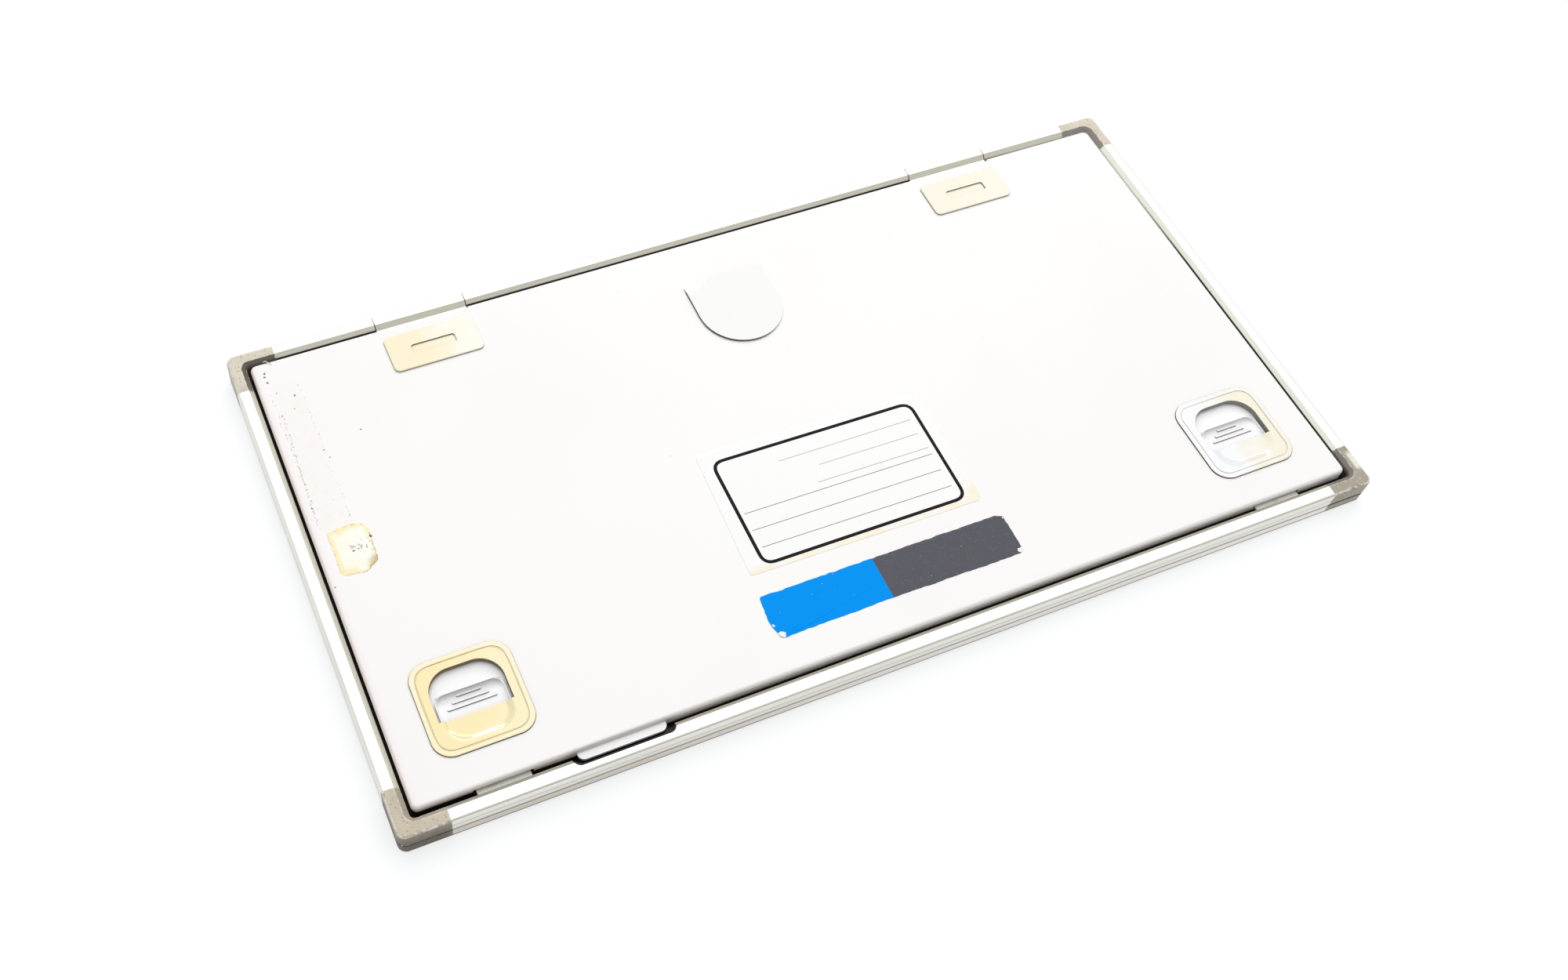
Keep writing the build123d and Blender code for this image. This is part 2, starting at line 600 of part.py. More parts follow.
for side, name in ((-1, "left"), (1, "right")):
    x = side * latch_x

    with BuildPart() as latch_bezel:
        with BuildSketch(Plane.XY.offset(lid_top)):
            with Locations((x, latch_y)):
                RectangleRounded(bezel_size, bezel_size, bezel_radius)
        extrude(amount=bezel_rise)
        fillet(latch_bezel.faces().sort_by(Axis.Z)[-1].edges(), bezel_edge_radius)
        with BuildSketch(Plane.XY.offset(bezel_bottom)):
            with Locations((x, latch_y)):
                RectangleRounded(bezel_skirt_size, bezel_skirt_size, bezel_skirt_radius - slip)
        extrude(amount=lid_top - bezel_bottom)
        # fine rim line
        with BuildSketch(Plane.XY.offset(bezel_top)):
            with Locations((x, latch_y)):
                rim_size = bezel_size - 2 * rim_inset
                rim_core = rim_size - 2 * rim_line_width
                RectangleRounded(rim_size, rim_size, bezel_radius - rim_inset)
                RectangleRounded(rim_core, rim_core, bezel_radius - rim_inset - rim_line_width,
                                 mode=Mode.SUBTRACT)
        extrude(amount=-rim_line_depth, mode=Mode.SUBTRACT)
        # thumb scoop in front of the window: its wall eases in at the rim and out at the floor
        for depth, share in eased_wall(scoop_depth):
            side_inset = share * scoop_side_slope
            with BuildSketch(Plane.XY.offset(bezel_top - depth)):
                with Locations((x, window_front)):
                    RectangleRounded(scoop_width - 2 * side_inset,
                                     2 * (scoop_length - share * scoop_front_slope),
                                     scoop_radius - side_inset)
        loft(mode=Mode.SUBTRACT)
        # D-shaped window and the knob's pocket under its front edge
        with BuildSketch(Plane.XY.offset(bezel_bottom)) as window:
            with Locations((x, (window_front + window_back) / 2)):
                Rectangle(window_width, window_back - window_front)
            fillet(window.vertices().group_by(Axis.Y)[-1], window_radius)
        extrude(amount=rail_height, mode=Mode.SUBTRACT)
        with Locations((x, pocket_front, bezel_bottom)):
            Box(knob_width + 2 * running, window_front - pocket_front, pocket_top - bezel_bottom,
                align=from_edge, mode=Mode.SUBTRACT)
    save(latch_bezel, f"latch_bezel_{name}")

    with BuildPart() as latch_slide:
        with Locations((x, slide_front, bolt_top)):
            Box(slide_width, slide_back - slide_front, slide_thickness,
                align=from_edge)
        with BuildSketch(Plane.XY.offset(slide_top)) as knob:
            with Locations((x, knob_front)):
                Rectangle(knob_width, knob_back - knob_front, align=(Align.CENTER, Align.MIN))
            fillet(knob.vertices().group_by(Axis.Y)[-1], knob_radius)
        extrude(amount=knob_height)
        # thumb dish, open towards the front, with a curved wall behind and beside it
        for depth, inset in bowl_wall(dish_depth, dish_slope):
            dish_inset = knob_rim_width + inset
            with BuildSketch(Plane.XY.offset(knob_top - depth)) as dish:
                with Locations((x, slide_front)):
                    Rectangle(knob_width - 2 * dish_inset, knob_back - dish_inset - slide_front,
                              align=(Align.CENTER, Align.MIN))
                fillet(dish.vertices().group_by(Axis.Y)[-1], knob_radius - dish_inset)
        loft(mode=Mode.SUBTRACT)
        for ridge_offset, ridge_length in ridge_rows:
            with BuildSketch(Plane.XY.offset(knob_top - dish_depth)):
                with Locations((x, knob_back - ridge_offset)):
                    SlotOverall(ridge_length, ridge_width)
            extrude(amount=ridge_height)
        with BuildSketch(Plane.XY.offset(bolt_top)):
            with Locations((x, bolt_screw_y)):
                with GridLocations(bolt_screw_spacing, 0, 2, 1):
                    Circle(bolt_screw_radius + slip)
        extrude(amount=bolt_screw_grip + slip, mode=Mode.SUBTRACT)
    save(latch_slide, f"latch_slide_{name}")

    with BuildPart() as latch_bolt:
        with BuildSketch(Plane.XY.offset(bolt_bottom)):
            with Locations((x, bolt_tip_y)):
                Rectangle(bolt_width, bolt_tail - bolt_tip_y, align=(Align.CENTER, Align.MIN))
            with Locations((x, bolt_shoulder)):
                Rectangle(bolt_body_width, bolt_tail - bolt_shoulder, align=(Align.CENTER, Align.MIN))
        extrude(amount=bolt_thickness)
        tip_edge = latch_bolt.edges().filter_by(Axis.X).group_by(Axis.Y)[0].sort_by(Axis.Z)[0]
        chamfer(tip_edge, bolt_lead_in)
        with Locations(Plane(origin=(x, bolt_screw_y, bolt_bottom), z_dir=(0, 0, -1))):
            with GridLocations(bolt_screw_spacing, 0, 2, 1):
                CounterSinkHole(bolt_screw_radius + slip, bolt_screw_head_radius + slip, depth=bolt_thickness)
    save(latch_bolt, f"latch_bolt_{name}")

    with BuildPart() as latch_screws:
        head_height = bolt_screw_head_radius - bolt_screw_radius
        with BuildSketch(Plane.XY.offset(bolt_bottom)):
            with Locations((x, bolt_screw_y)):
                with GridLocations(bolt_screw_spacing, 0, 2, 1):
                    Circle(bolt_screw_head_radius)
        extrude(amount=head_height, taper=45)
        with BuildSketch(Plane.XY.offset(bolt_bottom)):
            with Locations((x, bolt_screw_y)):
                with GridLocations(bolt_screw_spacing, 0, 2, 1):
                    Circle(bolt_screw_radius)
        extrude(amount=bolt_thickness + bolt_screw_grip)
    save(latch_screws, f"latch_screws_{name}")

    with BuildPart() as latch_guide:
        with BuildSketch(Plane.XY.offset(plate_top)):
            with Locations((x, guide_front)):
                Rectangle(2 * (guide_inner + guide_width), guide_back + guide_width - guide_front,
                          align=(Align.CENTER, Align.MIN))
                Rectangle(2 * guide_inner, guide_back - guide_front,
                          align=(Align.CENTER, Align.MIN), mode=Mode.SUBTRACT)
        extrude(amount=bezel_bottom - plate_top)
    save(latch_guide, f"latch_guide_{name}")

    # bowed leaf between the bolt's edge and the guide
    with BuildPart() as latch_spring:
        spring_seat_x = guide_inner - slip - spring_thickness / 2
        spring_crest_x = bolt_body_width / 2 + running + spring_thickness / 2
        with BuildSketch(Plane.XY.offset(bolt_bottom + slip)):
            with BuildLine():
                ThreePointArc((x + spring_seat_x, spring_y - spring_length / 2),
                              (x + spring_crest_x, spring_y),
                              (x + spring_seat_x, spring_y + spring_length / 2))
            trace(line_width=spring_thickness)
        extrude(amount=spring_height)
    save(latch_spring, f"latch_spring_{name}")
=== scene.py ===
# Film cassette on a white table: finishes for its metal and plastic parts, its stickers,
# old tape and wear, a soft white studio, and the camera that looks down on it from the latch side.
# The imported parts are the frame; every piece made here lies on them. Sizes are in metres.
import math

import bpy
import numpy as np
from mathutils import Matrix, Vector


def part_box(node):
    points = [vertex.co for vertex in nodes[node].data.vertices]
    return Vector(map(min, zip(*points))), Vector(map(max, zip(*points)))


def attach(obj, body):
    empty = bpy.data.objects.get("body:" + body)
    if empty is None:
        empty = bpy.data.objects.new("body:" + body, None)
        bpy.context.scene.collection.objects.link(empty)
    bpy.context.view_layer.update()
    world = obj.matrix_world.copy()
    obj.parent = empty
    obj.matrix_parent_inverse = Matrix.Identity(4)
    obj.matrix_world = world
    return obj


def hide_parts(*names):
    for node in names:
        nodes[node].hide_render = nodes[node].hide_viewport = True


mm = 0.001
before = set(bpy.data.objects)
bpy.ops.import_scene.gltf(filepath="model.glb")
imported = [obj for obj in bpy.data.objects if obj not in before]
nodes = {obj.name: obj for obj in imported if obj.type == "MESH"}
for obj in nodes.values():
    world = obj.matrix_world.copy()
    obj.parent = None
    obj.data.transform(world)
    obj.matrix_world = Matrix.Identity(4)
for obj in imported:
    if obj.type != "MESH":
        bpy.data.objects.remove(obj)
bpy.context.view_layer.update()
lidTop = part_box("hinge_cap_left")[0].z      # the caps lie on the lid's skin
halfLength, halfWidth = 214 * mm, 114 * mm  # of the frame, outside
grooveLevel = 5.9 * mm                      # height of the V groove round the outside
footDirt = (2.1 * mm, 1.3 * mm, 0.0, 0.9)   # painted shade at the foot: none above the first height, full below the second


# Camera

cameraView = {
    "azimuth": -28.731,        # degrees, 0 looks along +Y
    "elevation": 56.721,
    "roll": 6.682,
    "target": (-69.018, -1.891, 0.0),   # mm
    "distance": 682.155,                # mm
    "focalPixels": 2100.24,
    "frameWidth": 2000,
    "axisLeftOfMiddle": 171.955,        # pixels
    "sensor": 36.0,
    "clip": (0.01, 50),
}


def placeInScene(name, data):
    thing = bpy.data.objects.new(name, data)
    bpy.context.scene.collection.objects.link(thing)
    return thing


def addCamera(view):
    azimuth, elevation, roll = (math.radians(view[angle]) for angle in ("azimuth", "elevation", "roll"))
    back = Vector((math.sin(azimuth) * math.cos(elevation),
                   -math.cos(azimuth) * math.cos(elevation), math.sin(elevation)))
    right = Vector((math.cos(azimuth), math.sin(azimuth), 0))
    rolledRight = math.cos(roll) * right + math.sin(roll) * back.cross(right)
    turn = Matrix((rolledRight, back.cross(rolledRight), back)).transposed()
    place = Vector(view["target"]) * mm + back * view["distance"] * mm
    data = bpy.data.cameras.new("viewCamera")
    data.sensor_width = view["sensor"]
    data.lens = view["sensor"] * view["focalPixels"] / view["frameWidth"]
    data.shift_x = view["axisLeftOfMiddle"] / view["frameWidth"]
    data.clip_start, data.clip_end = view["clip"]
    camera = placeInScene("viewCamera", data)
    camera.matrix_world = Matrix.Translation(place) @ turn.to_4x4()
    bpy.context.scene.camera = camera


# Nodes

class Wire:
    # a node's output that can be reckoned with: each sign adds one Math node to its tree
    def __init__(self, socket):
        self.socket, self.tree = socket, socket.id_data

    __add__ = lambda self, other: calc("ADD", self, other)
    __sub__ = lambda self, other: calc("SUBTRACT", self, other)
    __rsub__ = lambda self, other: calc("SUBTRACT", other, self)
    __mul__ = lambda self, other: calc("MULTIPLY", self, other)
    __truediv__ = lambda self, other: calc("DIVIDE", self, other)
    __pow__ = lambda self, other: calc("POWER", self, other)
    __or__ = lambda self, other: calc("MAXIMUM", self, other)       # either mask
    __lt__ = lambda self, other: calc("LESS_THAN", self, other)
    __gt__ = lambda self, other: calc("GREATER_THAN", self, other)
    __abs__ = lambda self: calc("ABSOLUTE", self)


def feed(socket, source):
    # a wire is linked; a plain value is written into the socket, a colour with its fourth number
    if isinstance(source, Wire):
        source.tree.links.new(source.socket, socket)
    elif isinstance(source, tuple) and len(source) < len(socket.default_value):
        socket.default_value = (*source, 1.0)
    else:
        socket.default_value = source


def addNode(tree, kind, inputs=None, **settings):
    # inputs holds wires and plain values by the socket's name or number
    node = tree.nodes.new("ShaderNode" + kind)
    for name, value in settings.items():
        setattr(node, name, value)
    for name, value in (inputs or {}).items():
        feed(node.inputs[name], value)
    return node


def out(node, which=0):
    return Wire(node.outputs[which])


def calc(operation, *values, clamp=False):
    tree = next(value.tree for value in values if isinstance(value, Wire))
    return out(addNode(tree, "Math", dict(enumerate(values)), operation=operation, use_clamp=clamp))


def ramp(value, fromLow, fromHigh, toLow=0.0, toHigh=1.0):
    inputs = dict(enumerate((value, fromLow, fromHigh, toLow, toHigh)))
    return out(addNode(value.tree, "MapRange", inputs, interpolation_type="SMOOTHSTEP"))


def span(noise, low, high):
    return ramp(noise, 0.3, 0.7, low, high)     # the range that most of a noise lies in


def place(tree):
    return out(addNode(tree, "TexCoord"), "Object")


def axes(tree, kind="Object"):
    # the three parts of a point on the piece, or of its "Normal"
    split = addNode(tree, "SeparateXYZ", {0: out(addNode(tree, "TexCoord"), kind)})
    return [out(split, axis) for axis in "XYZ"]


def farFrom(tree, spot):
    return out(addNode(tree, "VectorMath", {0: place(tree), 1: spot}, operation="DISTANCE"), "Value")


# Effects that several finishes share, as node groups

effects = {}


def addEffect(build, inputs, output="Mask"):
    # the group is named after the function that fills it and returns its one result
    group = bpy.data.node_groups.new(build.__name__, "ShaderNodeTree")
    for label, value in inputs.items():
        kind = "NodeSocketVector" if isinstance(value, tuple) else "NodeSocketFloat"
        group.interface.new_socket(label, in_out="INPUT", socket_type=kind).default_value = value
    group.interface.new_socket(output, in_out="OUTPUT", socket_type="NodeSocketFloat")
    entry = group.nodes.new("NodeGroupInput")
    result = build(group, {label: out(entry, label) for label in inputs})
    feed(group.nodes.new("NodeGroupOutput").inputs[0], result)
    effects[build.__name__] = group


def noise(group, scale, detail=2.0, vector=None):
    inputs = {"Vector": vector or place(group), "Scale": scale, "Detail": detail}
    return out(addNode(group, "TexNoise", inputs))


def grain(group, values):
    # noise on coordinates that Stretch pulls out, so that a small number makes long streaks
    pull = addNode(group, "VectorMath", {0: place(group), 1: values["Stretch"]}, operation="MULTIPLY")
    return noise(group, values["Scale"], values["Detail"], out(pull))


def clouds(group, values):
    # soft patches: noise between Low and High becomes 0 to 1
    return ramp(noise(group, values["Scale"], 5.0), values["Low"], values["High"])


def specks(group, values):
    # one round speck in some cells: Size is its radius as a part of the cell, Share the part of cells
    cells = addNode(group, "TexVoronoi", {"Vector": place(group), "Scale": values["Scale"]})
    soft = ramp(1.0 - out(cells, "Distance") / values["Size"], 0.0, 0.5)
    return soft * (out(addNode(group, "SeparateColor", {0: out(cells, "Color")})) < values["Share"])


def edgeWear(group, values):
    # where a rounded-off normal leaves the true one there is an edge; noise breaks the wear up
    rounded = out(addNode(group, "Bevel", {"Radius": values["Radius"]}, samples=4))
    true = out(addNode(group, "NewGeometry"), "Normal")
    alike = out(addNode(group, "VectorMath", {0: rounded, 1: true}, operation="DOT_PRODUCT"), "Value")
    patches = ramp(noise(group, values["Scale"]), 0.38, 0.62)
    return calc("MULTIPLY", (1.0 - alike) * values["Gain"], patches, clamp=True)


def grime(group, values):
    # dirt and painted shade gather where less than the whole sky is seen within Reach
    sky = out(addNode(group, "AmbientOcclusion", {"Distance": values["Reach"]}, samples=8), "AO")
    uneven = ramp(noise(group, values["Scale"]), 0.3, 0.6, 0.6, 1.0)
    return ramp(1.0 - sky, values["Low"], values["High"]) * uneven


def gapShade(group, values):
    # painted shade on the foot of the inner slopes at the rear and right, and on the walls below it;
    # Top is its height
    x, y, z = axes(group)
    shade = ramp(z, values["Top"], values["Top"] - 0.25 * mm)
    for axis, half in ((x, halfLength), (y, halfWidth)):
        shade *= ramp(abs(axis), half - 5.4 * mm, half - 5.8 * mm)
    shade *= ((x - (halfLength - 8 * mm)) | (y - (halfWidth - 8 * mm))) > 0.0
    return shade * ramp(x + y, 0.28, 0.22, 0.15, 1.0)      # weaker towards the far right corner


def groove(group, values):
    # darkens the V groove round the outside, at the height Level and Half wide to each side
    x, y, z = axes(group)
    outside = (abs(x) - (halfLength - 1 * mm)) | (abs(y) - (halfWidth - 1 * mm))
    return ramp(abs(z - values["Level"]) - values["Half"], 0.2 * mm, -0.1 * mm) * (outside > 0.0)


addEffect(grain, {"Stretch": (1.0, 1.0, 1.0), "Scale": 1000.0, "Detail": 3.0}, "Value")
addEffect(clouds, {"Scale": 40.0, "Low": 0.45, "High": 0.65})
addEffect(specks, {"Scale": 900.0, "Size": 0.3, "Share": 0.5})
addEffect(edgeWear, {"Radius": 0.0005, "Gain": 4.0, "Scale": 300.0})
addEffect(grime, {"Reach": 0.001, "Low": 0.35, "High": 0.8, "Scale": 250.0})
addEffect(gapShade, {"Top": 0.0123})
addEffect(groove, {"Level": grooveLevel, "Half": 0.0005})


class Paint:
    # a material in the making: colours of its look are laid over its first colour, each as far as its
    # share says, and plain values stand in the shader's own sockets
    def __init__(self, name, look, **plain):
        self.material = bpy.data.materials.new(name)
        self.material.use_nodes = True
        self.tree = self.material.node_tree
        self.inputs = self.tree.nodes["Principled BSDF"].inputs
        self.look, self.colour = look, look.get("colour")
        self.set(**plain)

    def set(self, **values):
        for label, value in values.items():
            feed(self.inputs[label.replace("_", " ")], value)

    def effect(self, name, **values):
        return out(addNode(self.tree, "Group", values, node_tree=effects[name]))

    def mix(self, share, under, over):
        node = addNode(self.tree, "Mix", data_type="RGBA")
        for socket, source in ((0, share), (6, under), (7, over)):
            feed(node.inputs[socket], source)
        return out(node, 2)

    def lay(self, **shares):
        for name, share in shares.items():
            self.colour = self.mix(share, self.colour, self.look[name])

    def finish(self, roughness, bump=None, **others):
        # bump is a height, the distance that it stands for and its strength
        self.set(Base_Color=self.colour, Roughness=roughness, **others)
        if bump:
            inputs = dict(zip(("Height", "Distance", "Strength"), bump))
            self.set(Normal=out(addNode(self.tree, "Bump", inputs)))
        return self.material


# Studio

studio = {
    "floorSize": 12.0,
    "floorLevel": -0.00005,      # a hair below the rails' feet
    "floor": {"colour": (0.350, 0.356, 0.366)},
    "floorLift": 0.70,          # added for camera and reflections, so that the open floor reads white
    "worldColour": (0.955, 0.975, 1.0),
    "worldFront": 0.54,         # the world's light on the object, from the latch side and the hinge side
    "worldBack": 0.52,
    "shownFront": 0.74,         # what shiny surfaces show of it
    "shownBack": 1.0,
    "lamps": {
        "topLight": {"place": (0.45, 0.62, 2.0), "size": (3.0, 3.0), "power": 32.1,
                     "colour": (1.0, 0.985, 0.965)},
        "backLight": {"place": (0.75, 2.0, 1.45), "size": (2.4, 0.16), "power": 8.0,
                      "colour": (1.0, 0.99, 0.98)},
    },
}


def addStudio(look):
    size = look["floorSize"] / 2
    mesh = bpy.data.meshes.new("studioFloor")
    corners = [(x * size, y * size, look["floorLevel"]) for x, y in ((-1, -1), (1, -1), (1, 1), (-1, 1))]
    mesh.from_pydata(corners, [], [(0, 1, 2, 3)])
    placeInScene("studioFloor", mesh)
    paint = Paint("studioFloor", look["floor"], Specular_IOR_Level=0.0, Emission_Color=(1, 1, 1, 1))
    camera, glossy, through = lightRays(paint.tree)
    lift = (camera | glossy | through) * look["floorLift"]
    mesh.materials.append(paint.finish(0.9, Emission_Strength=lift))

    world = bpy.data.worlds.new("studioWorld")
    bpy.context.scene.world = world
    world.use_nodes = True
    tree = world.node_tree
    background = tree.nodes["Background"].inputs
    feed(background["Color"], look["worldColour"])
    y = axes(tree, "Generated")[1]
    level = ramp(y, -1.0, 1.0, look["worldFront"], look["worldBack"])
    shown = ramp(y, -1.0, 1.0, look["shownFront"], look["shownBack"])
    camera, glossy, through = lightRays(tree)
    feed(background["Strength"], level | shown * (glossy | through) | camera)

    for name, values in look["lamps"].items():
        light = bpy.data.lights.new(name, "AREA")
        light.shape = "ELLIPSE"
        light.size, light.size_y = values["size"]
        light.energy = values["power"]
        light.color = values["colour"]
        lamp = placeInScene(name, light)
        lamp.location = values["place"]
        lamp.rotation_euler = (-lamp.location).to_track_quat("-Z", "Y").to_euler()
    bpy.context.scene.view_settings.view_transform = "Standard"


def lightRays(tree):
    rays = addNode(tree, "LightPath")
    return [out(rays, "Is %s Ray" % kind) for kind in ("Camera", "Glossy", "Transmission")]


addCamera(cameraView)
addStudio(studio)
print("camera, effects and studio done")


# Extruded rails and the hinge blocks: satin metal drawn along its length

railLooks = {       # the slope colour is painted shade, the darker tone the 45 degree slopes take from what they reflect; stretch pulls the streaks out
    "railAlongX": {"slopeColour": (0.685, 0.665, 0.555), "stretch": (0.012, 1.0, 1.0), "gapLine": True},
    "railAlongY": {"slopeColour": (0.870, 0.880, 0.765), "stretch": (1.0, 0.012, 1.0), "gapLine": True},
    "hingeMetal": {"slopeColour": (0.685, 0.665, 0.555), "stretch": (0.012, 1.0, 1.0), "gapLine": False},
}
railShared = {
    "colour": (0.83, 0.815, 0.770),
    "streakColour": (0.72, 0.71, 0.655),
    "slopeMetal": 0.60,
    "dirtColour": (0.060, 0.050, 0.030),
    "filmColour": (0.56, 0.50, 0.42),
    "shadowColour": (0.012, 0.010, 0.008),
    "scratchColour": (0.42, 0.40, 0.35),
    "roughness": (0.27, 0.42),
    "flatLevel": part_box("rail_rear")[1].z,
    "borderFrom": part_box("rail_rear")[1].y - 4.3 * mm,      # where the slopes' painted shade runs onto the flat top, at the rear
    "notchMiddle": -125.0 * mm,     # painted shadow lies in a band round the finger notch under the lift tab
    "notchHalfWidth": 20.6 * mm,
    "notchFront": 111.1 * mm,
    "notchRadius": 3.2 * mm,
}


def railMetal(name, look):
    paint = Paint(name, look)
    streaks = paint.effect("grain", Stretch=look["stretch"], Scale=900, Detail=4)
    fine = paint.effect("grain", Stretch=look["stretch"], Scale=3600, Detail=2)
    patches = paint.effect("clouds", Scale=22, Low=0.42, High=0.7)
    dirt = paint.effect("grime", Reach=1.2 * mm, Low=0.42, High=0.80, Scale=160)
    # painted shadow deep in gaps and recesses
    deep = paint.effect("grime", Reach=4.0 * mm, Low=0.66, High=0.86, Scale=160)
    nicks = paint.effect("specks", Scale=260, Size=0.07, Share=0.10)
    x, y, z = axes(paint.tree)
    up = axes(paint.tree, "Normal")[2]
    slope = ramp(up, 0.45, 0.60) * ramp(up, 0.92, 0.80)
    # painted shade: at the rear the slope colour runs onto a border along the flat top's inner edge
    border = z > look["flatLevel"] - 0.02 * mm
    border *= ramp(y, look["borderFrom"], look["borderFrom"] - 0.2 * mm)
    slope |= border * ramp(y, 0.095, 0.096)
    # the painted shadow round the notch is a rounded rectangle, open towards the lid
    radius = look["notchRadius"]
    beside = abs(x - look["notchMiddle"]) - (look["notchHalfWidth"] - radius) | 0.0
    before = y * -1.0 - (look["notchFront"] - radius) | 0.0
    corner = (beside ** 2.0 + before ** 2.0) ** 0.5
    deep |= ramp(corner, radius, radius - 0.15 * mm) * ramp(y, -0.1, -0.105)
    # painted shade on the foot of the inner slopes at the rear and right
    if look["gapLine"]:
        deep |= paint.effect("gapShade", Top=12.2 * mm)
    # painted shade at the foot, a darkened V groove, and dirt on the front rail's outer face towards the
    # left
    dirt |= paint.effect("groove", Half=0.4 * mm) * 0.55 | ramp(z, *footDirt)
    film = ramp(x, 0.06, -0.16, 0.0, 0.75) * ramp(y, -112.5 * mm, -113.5 * mm)
    film *= ramp(z, 10.5 * mm, 3.0 * mm)
    paint.lay(streakColour=ramp(streaks, 0.35, 0.70), slopeColour=slope)
    paint.lay(streakColour=patches * 0.25, filmColour=film, scratchColour=nicks,
              dirtColour=dirt * 0.85, shadowColour=deep)
    return paint.finish(span(fine, *look["roughness"]) | dirt * 0.7,
                        (streaks * 0.6 + fine * 0.4 - nicks, 0.04 * mm, 0.5),
                        Metallic=ramp(dirt | deep | slope, 0.0, 1.0, 1.0, look["slopeMetal"]))


railAlongX, railAlongY, hingeMetal = (
    railMetal(name, {**railShared, **look}) for name, look in railLooks.items())


# Moulded corners: speckled taupe plastic, rubbed pale at its edges, with painted light and shade that
# differ from corner to corner

cornerLook = {
    "colour": (0.575, 0.505, 0.380),
    # painted light towards the hinge side, and the colour of the pale specks
    "paleColour": (0.735, 0.675, 0.555),
    "darkColour": (0.230, 0.185, 0.125),
    "wornColour": (0.920, 0.890, 0.810),
    "bleachedColour": (0.830, 0.800, 0.660),    # painted light on the sides of the hinge-side corners
    "rightColour": (0.330, 0.290, 0.225),       # painted shade on the near right corner
    # painted shade on the sides of the near left corner
    "handledColour": (0.100, 0.072, 0.034),
    # painted shade on the inner slopes
    "slopeColour": (0.185, 0.170, 0.160),
    "farSlopeColour": (0.090, 0.074, 0.056),    # painted shade on the far left corner's slopes
    "dirtColour": (0.040, 0.030, 0.018),
}


def cornerPlastic(name, look):
    paint = Paint(name, look, Specular_IOR_Level=0.55)
    fine = paint.effect("grain", Scale=1900, Detail=4)
    pale = paint.effect("specks", Scale=1500, Size=0.42, Share=0.42)
    dark = paint.effect("specks", Scale=900, Size=0.36, Share=0.34)
    wear = paint.effect("edgeWear", Radius=0.9 * mm, Gain=12, Scale=420)
    dirt = paint.effect("grime", Reach=1.4 * mm, Low=0.40, High=0.85, Scale=200)
    patches = paint.effect("clouds", Scale=70, Low=0.4, High=0.7)
    x, y, z = axes(paint.tree)
    up = axes(paint.tree, "Normal")[2]
    # dirt and painted shade gather in the gaps and at the foot, and the V groove is darkened
    dirt |= paint.effect("gapShade") | paint.effect("groove", Half=0.7 * mm) | ramp(z, *footDirt)
    # painted light makes the hinge-side corners paler; painted shade darkens the near right corner's top
    # and the sides of the near left corner, most near the foot
    side = ramp(up, 0.6, 0.1)
    handled = side * ramp(x, -0.18, -0.20) * ramp(y, -0.08, -0.10) * ramp(z, 0.013, 0.004, 0.45, 0.97)
    nearRight = ramp(x, 0.15, 0.18) * ramp(y, -0.05, -0.08)
    paint.lay(paleColour=ramp(y, -0.08, 0.11, 0.0, 0.70))
    paint.lay(rightColour=nearRight * ramp(side, 0.0, 1.0, 0.88, 0.10),
              bleachedColour=side * ramp(y, 0.05, 0.09, 0.0, 0.8),
              paleColour=pale * 0.8, darkColour=dark * 0.75)
    paint.lay(darkColour=patches * 0.2, handledColour=handled)
    # painted shade on the inner slopes, least on the near left corner and most on the far left one; the
    # outer edge is rubbed pale
    inner = (abs(x) < halfLength - 4.4 * mm) * (abs(y) < halfWidth - 4.4 * mm)
    sloping = ramp(up, 0.90, 0.80) * ramp(up, 0.4, 0.6) * inner
    farLeft = ramp(x, -0.15, -0.18, 0.0, 0.85) * ramp(y, 0.085, 0.105, 0.25, 1.0) * (y > 0.0)
    paint.lay(slopeColour=sloping * ramp(x + y, -0.30, -0.25, 0.30, 0.80),
              farSlopeColour=sloping * farLeft)
    rubbed = ramp(up, 0.98, 0.92) * ramp(up, 0.35, 0.55) * (1.0 - inner)
    rubbed *= paint.effect("clouds", Scale=500, Low=0.36, High=0.56)
    # a longer bare patch on the near right corner's outer edge
    patch = ramp(y, -107.5 * mm, -104.5 * mm) * ramp(y, -96 * mm, -99 * mm)
    wear |= rubbed | ramp(x, 210.2 * mm, 211.6 * mm) * patch
    paint.lay(wornColour=wear * 0.8, dirtColour=dirt * 0.9)
    return paint.finish(span(fine, 0.38, 0.58), (fine + wear * -0.8, 0.12 * mm, 0.45))


cornerPaint = cornerPlastic("cornerPlastic", cornerLook)


# Lid: white enamel, warm on its bent edge with dirt and painted shade, painted shade low on its flange, and
# the ghost of an old tape at its left

lidLook = {
    "colour": (0.930, 0.918, 0.905),
    "warmColour": (0.915, 0.890, 0.868),
    "pressedColour": (0.885, 0.885, 0.870),     # the D-shaped pressing's top
    "wallColour": (0.030, 0.024, 0.016),        # painted shade on its upright wall
    "pressingReach": 23 * mm,                   # the wall lies within this of (0, pressingMiddle)
    "pressingMiddle": 64 * mm,
    # the bend's colours are part dirt and part painted shade
    "edgeColour": (0.74, 0.665, 0.615),
    "leftEdgeColour": (0.90, 0.80, 0.77),
    "grimeColour": (0.22, 0.15, 0.09),
    "sootColour": (0.018, 0.014, 0.011),        # painted shade, low on the flange
    "ghostColour": (0.935, 0.880, 0.820),
    # painted shade along the lid's left rounded edge
    "pinkColour": (0.920, 0.845, 0.825),
    "speckColour": (0.30, 0.22, 0.10),
    "ghostSides": (-0.2015, -0.1890),           # x of the removed tape's long sides
    "ghostEnds": (0.0165, 0.0935),              # y of its ends
}


